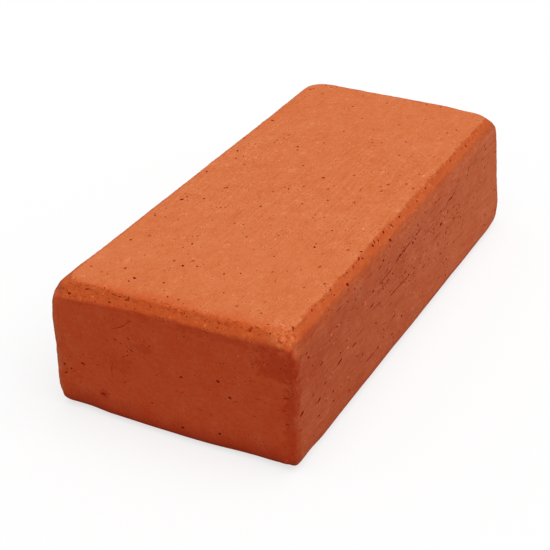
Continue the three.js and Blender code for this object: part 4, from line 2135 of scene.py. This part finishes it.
class ClayNodes:
    """The nodes of the fired clay. Its fields are what several of the effects share."""

    def __init__(self, look: FiredClayFinish, sheet: NodeSheet) -> None:
        """Lays out the places, the noise and the borders.

        Args:
            look: the look of the clay.
            sheet: the material's sheet.
        """
        self.look = look
        self.sheet = sheet
        self.mottle = mottle_group()
        self.drag = drag_group()
        self.specks = speck_group()
        self.stain = stain_group()
        coordinates = sheet.value("ShaderNodeTexCoord", {}, "Object")
        to_mm = {0: coordinates, "Scale": 1.0 / MM}
        self.place = sheet.value("ShaderNodeVectorMath", to_mm, operation="SCALE")
        self.along, self.across, self.up = sheet.axes(self.place)
        self.broad = self._patches(look.broad_patches)
        self.medium = self._patches(look.medium_patches)
        self.fine = self._patches(look.fine_patches)
        self.grain = self._patches(look.grain_patches)
        self.rag = (self.medium + self.fine) * look.stain_rag
        self.middle = sheet.math("ABSOLUTE", self.along).climb(*look.middle_span)

        # The borders between the bed, the chamfer and the sides wander a little.
        header = sheet.attribute("header_share") + self.fine * look.header_fray
        self.header = header.climb(*look.header_span)
        self.inside = sheet.attribute("inside_lip")
        fray = self.fine * look.brow_frays[0] + self.grain * look.brow_frays[1]
        lip = self.inside + fray - self.header.shift(look.lip_place)
        softness = self.header.shift(look.lip_softness)
        self.on_bed = lip.climb(softness * look.lip_outside, softness)
        self.shoulder = sheet.attribute("below_shoulder") + fray * look.shoulder_fray
        side_start, side_full = self.header.shift(look.side_start), self.header.shift(look.side_full)
        self.on_side = self.shoulder.climb(side_start, side_full)
        self.on_header = self.on_side * self.header
        self.calm = self.on_header.shift(look.header_calm)
        self.drawn, self.deep = self._drag_lines()

    def _patches(self, size: Pair) -> Signal:
        """Soft patches of one size."""
        return self.sheet.group(self.mottle, Place=self.place, Feature=size[0], Detail=size[1])["Value"]

    def _lines(self, place: Signal, lines: Lines) -> tuple[Signal, Signal]:
        """Drag lines of one kind, as their value and the mask of the deep ones.

        Args:
            place: the places that the lines run through.
            lines: their kind.

        Returns:
            Both signals.
        """
        size = {"Length": lines.length, "Width": lines.width, "Slant": lines.slant}
        return tuple(self.sheet.group(self.drag, Place=place, **size).values())

    def _spot(self, spot: Stain) -> Signal:
        """How much one stain shows.

        Args:
            spot: the stain.

        Returns:
            Its mask.
        """
        where = {"Centre": spot.centre, "Reach": spot.reach, "Rag": self.rag}
        return self.sheet.group(self.stain, Place=self.place, **where)["Mask"] * spot.strength

    def _most(self, start: object, spots: tuple[Stain, ...]) -> Signal:
        """The strongest of several stains and a starting value.

        Args:
            start: the starting value.
            spots: the stains.

        Returns:
            The greatest of them at each place.
        """
        for spot in spots:
            start = self.sheet.math("MAXIMUM", start, self._spot(spot))
        return start

    def _drag_lines(self) -> tuple[Signal, Signal]:
        """The drag lines of all faces, and the deep lines of the sides.

        Returns:
            Both signals.
        """
        look = self.look
        swapped = {"X": self.across, "Y": self.along, "Z": self.up}
        turned = self.sheet.value("ShaderNodeCombineXYZ", swapped)
        on_bed, _deep = self._lines(self.place, look.bed_lines)
        at_end, _deep = self._lines(turned, look.end_lines)
        on_stretcher, deep = self._lines(self.place, look.side_lines)
        on_sides = self.sheet.blend(self.header, on_stretcher, at_end * look.end_line_share)
        on_bed = on_bed * self.middle.shift(look.bed_drag)
        return self.sheet.blend(self.on_side, on_bed, on_sides), deep

    def _zones(self) -> Signal:
        """The tones of the bed, the chamfer and the sides, with their stains, the painted shade at the
        foot and along the near upright edge, and the painted light along the stretchers.

        Returns:
            The tone.
        """
        look, sheet, header = self.look, self.sheet, self.header
        # Painted light: the stretchers grow paler towards +X.
        paler = self.along.climb(*look.stretcher_span)
        stretcher = sheet.blend(paler, look.stretcher_near, look.stretcher_far)
        chamfer = sheet.blend(header, look.stretcher_chamfer, look.header_chamfer)
        sides = sheet.blend(header, stretcher, look.header)
        for spot in look.stains_and_shade:
            stained = self._spot(spot)
            sides = sheet.blend(stained, sides, look.stain_and_shade)
            chamfer = sheet.blend(stained * look.chamfer_stain, chamfer, look.stain_and_shade)
        # Painted shade: the sides darken towards the floor.
        foot = (self.up + self.medium).climb(*look.foot_span) * header.shift(look.foot_share)
        sides = sheet.blend(foot, sides, look.stain_and_shade)
        for spot in look.dusted:
            chamfer = sheet.blend(self._spot(spot), chamfer, look.bed)
        bare = (self.inside + self.medium * look.bare_fray).climb(*look.bare_span)
        bare = bare * (header * look.bare_share) * self.along.climb(*look.bare_along)
        bed = sheet.blend(bare, look.bed, look.header_chamfer)
        return sheet.blend(self.on_side, sheet.blend(self.on_bed, chamfer, bed), sides)

    def _wear(self, tone: Signal) -> Signal:
        """The tone, with painted shade under the header's chamfer, along the stretchers' shoulder and
        in hollows, and paler where it was rubbed.

        Args:
            tone: the tone so far.

        Returns:
            The changed tone.
        """
        look, sheet = self.look, self.sheet
        # Painted shadow just under the lower border of the header's chamfer.
        crease = self.shoulder.between(look.crease_rise, look.crease_fall)
        tone = sheet.blend(crease * self.header * look.crease_share, tone, look.stain_and_shade)
        # Painted shade along the stretchers' shoulder.
        shoulder_shade = self.shoulder.between(look.shoulder_shade_rise, look.shoulder_shade_fall)
        tone = sheet.gain(shoulder_shade * (1.0 - self.header), tone, look.shoulder_shade_gain)
        worn = sheet.attribute("worn")
        tone = sheet.gain(worn.climb(*look.rubbed_span) * look.rubbed_share, tone, look.pale_gain)
        # Painted shade in the hollows.
        return sheet.gain(worn.climb(*look.sunk_span) * look.sunk_share, tone, look.sunk_shade_gain)

    def _shade(self, tone: Signal) -> Signal:
        """The tone, lighter and darker with the patches, the drag lines and the grain.

        Args:
            tone: the tone so far.

        Returns:
            The changed tone.
        """
        look, sheet = self.look, self.sheet
        crumbly = self._patches(look.crumb_patches) * self._most(0.0, look.crumbled)
        layers = (
            (self.broad, look.broad_light),
            (crumbly, look.crumb_light),
            (self.medium * self.on_side.shift(look.side_smear), look.medium_light),
            (self.fine, look.fine_light),
            (self.grain * (self.calm * self.middle.shift(look.grain_share)), look.grain_light),
            (self.drawn, look.line_light),
        )
        light: object = 1.0
        for layer, amount in layers:
            light = layer * amount + light
        shade = sheet.add("ShaderNodeCombineColor", {})
        for channel, (spread, at_header) in enumerate(zip(look.tone_spread, look.header_spread)):
            power = self.on_header.shift((spread, at_header - spread))
            sheet.feed(shade.inputs[channel], sheet.math("POWER", light, power))
        return sheet.blend(1.0, tone, shade, "MULTIPLY")

    def _score(self, tone: Signal) -> Signal:
        """The tone, with painted shade in the deep drag lines of where the clay was scored.

        Args:
            tone: the tone so far.

        Returns:
            The changed tone.
        """
        look = self.look
        scored = self._most(self.broad.climb(*look.scored_span) * look.scored_share, look.scored)
        scored = scored * (self.on_side * (1.0 - self.header))
        return self.sheet.gain(self.deep * scored * look.deep_line_share, tone, look.pinhole_shade_gain)

    def _two_sizes(self, specks: Specks, share: Signal) -> list[dict[str, Signal]]:
        """The small and the large specks of one kind.

        Args:
            specks: the kind.
            share: how many of them there are.

        Returns:
            The masks and rims of the small ones and of the large ones.
        """
        both = {"Place": self.place, "Share": share, "Stretch": specks.stretch}
        return [
            self.sheet.group(self.specks, Spacing=spacing, Radius=radius, **both)
            for spacing, radius in specks.sizes
        ]

    def _speckles(self) -> tuple[Signal, Signal, Signal]:
        """Masks of the pinholes, of the flecks, and of the flecks with the painted highlights on the
        pinholes' rims.

        Returns:
            The three masks.
        """
        look, sheet = self.look, self.sheet
        crowded = (self.medium + self.middle * look.crowd_middle).climb(*look.crowd_span)
        share = crowded.shift(look.hole_share) * self.calm
        fewer = self.on_side.shift(look.fleck_share)
        small_hole, large_hole = self._two_sizes(look.holes, share)
        small_fleck, large_fleck = self._two_sizes(look.flecks, share * fewer)
        hole = sheet.math("MAXIMUM", small_hole["Mask"] * look.small_hole_share, large_hole["Mask"])
        small = small_fleck["Mask"] * self.middle.shift(look.small_fleck_share)
        fleck = sheet.math("MAXIMUM", small, large_fleck["Mask"])
        rim_highlights = sheet.math("MAXIMUM", small_hole["Rim"], large_hole["Rim"])
        return hole, fleck, sheet.math("MAXIMUM", fleck, rim_highlights * (fewer * look.rim_highlight_share))

    def _mark(self, tone: Signal, hole: Signal, pale: Signal) -> Signal:
        """The tone with pinholes, flecks and the marks that are cut into the mesh, with painted shade
        in the pinholes, pits and grooves and painted highlights on the pinholes' rims.

        Args:
            tone: the tone so far.
            hole: the mask of the pinholes, which get painted shade.
            pale: the mask of the flecks and of the painted highlights on the pinholes' rims.

        Returns:
            The finished tone.
        """
        look, sheet = self.look, self.sheet
        # Pale flecks, and painted highlights on the rims of pinholes.
        tone = sheet.gain(pale * look.fleck_strength, tone, look.fleck_and_highlight_gain)
        on_chamfer = (1.0 - self.on_bed) * (1.0 - self.on_side)
        flake = sheet.blend(on_chamfer, sheet.blend(1.0, tone, look.pale_gain, "MULTIPLY"), look.flake)
        crumb = sheet.attribute("crumb") * on_chamfer.shift(look.crumb_strength)
        tone = sheet.blend(crumb, tone, flake)
        # Painted shade in the pinholes.
        tone = sheet.gain(hole * look.hole_strength, tone, look.pinhole_shade_gain)
        # Painted shade inside the cut pits, fainter on the header's chamfer.
        faint = (1.0 - self.on_side) * self.header * self.inside.climb(*look.faint_span)
        hollow = sheet.blend(faint, look.hollow, look.chamfer_hollow_shade)
        tone = sheet.blend(sheet.attribute("hollow"), tone, hollow)
        # Painted shade inside the cut grooves, stronger on the sides.
        groove = sheet.attribute("groove") * self.on_side.shift(look.groove_strength)
        return sheet.blend(groove, tone, look.groove)

    def finish(self, shader: Node) -> None:
        """Feeds the material's shader.

        Args:
            shader: the shader.
        """
        look, sheet = self.look, self.sheet
        hole, fleck, pale = self._speckles()
        tone = self._score(self._shade(self._wear(self._zones())))
        layers = (
            (self.fine, look.fine_height),
            (self.drawn, look.line_height),
            (hole, look.hole_height),
            (fleck, look.fleck_height),
        )
        height = self.grain * look.grain_height
        for layer, amount in layers:
            height = height + layer * amount
        bump = {"Strength": look.bump, "Distance": MM, "Height": height}
        feeds = {
            "Base Color": self._mark(tone, hole, pale),
            "Roughness": self.medium.shift((look.roughness, look.roughness_change)),
            "Specular IOR Level": look.gloss,
            "Normal": sheet.value("ShaderNodeBump", bump, "Normal"),
        }
        for name, value in feeds.items():
            sheet.feed(shader.inputs[name], value)


# ---- the studio


def grey(level: float) -> Colour:
    """A grey of this level."""
    return level, level, level


@dataclass(frozen=True)
class Studio:
    """A pale floor, soft light from above and the camera."""

    floor_size: float = 6.0
    floor_lit: float = 0.3
    floor_bounce: float = 0.38
    sky: float = 0.48
    lamp_power: float = 1.75
    lamp_spread: float = 70.0
    lamp_from: Place = (-0.10, -0.34, 1.0)
    azimuth: float = -61.876
    elevation: float = 29.981
    roll: float = -1.649
    focal_pixels: float = 1320.6
    frame_pixels: float = 550.0
    sensor_width: float = 36.0
    distance: float = 664.8
    shift_right: float = -13.9
    shift_up: float = 13.9
    # The nearest and the furthest that the camera sees, in metres.
    clip: Pair = (0.05, 20.0)

    def build_floor(self) -> Object:
        """Lays the floor, which looks white but throws only a soft light back.

        Returns:
            The floor's object.
        """
        floor = add_object(bpy.ops.mesh.primitive_plane_add, "floor", size=self.floor_size)
        pale = bpy.data.materials.new("pale_floor")
        pale.use_nodes = True
        pale.node_tree.nodes.clear()
        sheet = NodeSheet(pale.node_tree)
        rays = sheet.add("ShaderNodeLightPath", {}).outputs
        seen = sheet.math("MAXIMUM", rays["Is Camera Ray"], rays["Is Glossy Ray"])
        seen = sheet.math("MAXIMUM", seen, rays["Is Transmission Ray"])
        lit = sheet.add("ShaderNodeBsdfDiffuse", {"Color": grey(self.floor_lit)})
        glow = sheet.add("ShaderNodeEmission", {"Strength": 1.0 - self.floor_lit})
        shown = sheet.add("ShaderNodeAddShader", {0: lit, 1: glow})
        dull = sheet.add("ShaderNodeBsdfDiffuse", {"Color": grey(self.floor_bounce)})
        mixed = sheet.add("ShaderNodeMixShader", {0: seen, 1: dull, 2: shown})
        sheet.add("ShaderNodeOutputMaterial", {"Surface": mixed})
        floor.data.materials.append(pale)
        return floor

    def build_light(self) -> Object:
        """Sets the sky's light and one broad lamp.

        Returns:
            The lamp's object.
        """
        world = bpy.data.worlds.new("studio")
        bpy.context.scene.world = world
        world.use_nodes = True
        world.node_tree.nodes.clear()
        sheet = NodeSheet(world.node_tree)
        rays = sheet.add("ShaderNodeLightPath", {}).outputs
        seen = sheet.math("MAXIMUM", rays["Is Camera Ray"], rays["Is Transmission Ray"])
        soft = sheet.add("ShaderNodeBackground", {"Color": grey(1.0), "Strength": self.sky})
        white = sheet.add("ShaderNodeBackground", {"Color": grey(1.0)})
        mixed = sheet.add("ShaderNodeMixShader", {0: seen, 1: soft, 2: white})
        sheet.add("ShaderNodeOutputWorld", {"Surface": mixed})
        place = Vector(self.lamp_from)
        lamp = add_object(bpy.ops.object.light_add, "softbox", type="SUN", location=place)
        lamp.data.energy = self.lamp_power
        lamp.data.angle = math.radians(self.lamp_spread)
        lamp.rotation_euler = place.to_track_quat("Z", "Y").to_euler()
        return lamp

    def build_camera(self) -> Object:
        """Places the camera.

        Returns:
            The camera's object.
        """
        turn, rise, roll = (math.radians(a) for a in (self.azimuth, self.elevation, self.roll))
        reach = math.cos(rise)
        back = Vector((math.sin(turn) * reach, -math.cos(turn) * reach, math.sin(rise)))
        level_right = (-back).cross(Vector((0.0, 0.0, 1.0))).normalized()
        level_up = level_right.cross(-back)
        right = level_right * math.cos(roll) + level_up * math.sin(roll)
        up = level_up * math.cos(roll) - level_right * math.sin(roll)
        place = back * self.distance + level_right * self.shift_right + level_up * self.shift_up
        camera = add_object(bpy.ops.object.camera_add, "Camera")
        camera.data.sensor_width = self.sensor_width
        camera.data.lens = self.focal_pixels * self.sensor_width / self.frame_pixels
        camera.data.clip_start, camera.data.clip_end = self.clip
        axes = Matrix((right, up, back)).transposed().to_4x4()
        camera.matrix_world = Matrix.Translation(place * MM) @ axes
        bpy.context.scene.camera = camera
        return camera


def main() -> None:
    """Builds the brick and the studio, and reports each piece."""
    logging.basicConfig(level=logging.INFO, format="%(name)s: %(message)s")
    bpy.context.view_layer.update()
    bpy.context.scene.view_settings.view_transform = "Standard"
    studio = Studio()
    studio.build_floor()
    studio.build_light()
    studio.build_camera()
    body = BrickBody()
    brick = body.build()
    brick.data.materials.append(FiredClayFinish().material())
    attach(brick, "root")
    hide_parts(body.node)
    triangles = sum(len(face.vertices) - 2 for face in brick.data.polygons)
    LOG.info("%s: %d triangles", brick.name, triangles)


if __name__ == "__main__":
    main()
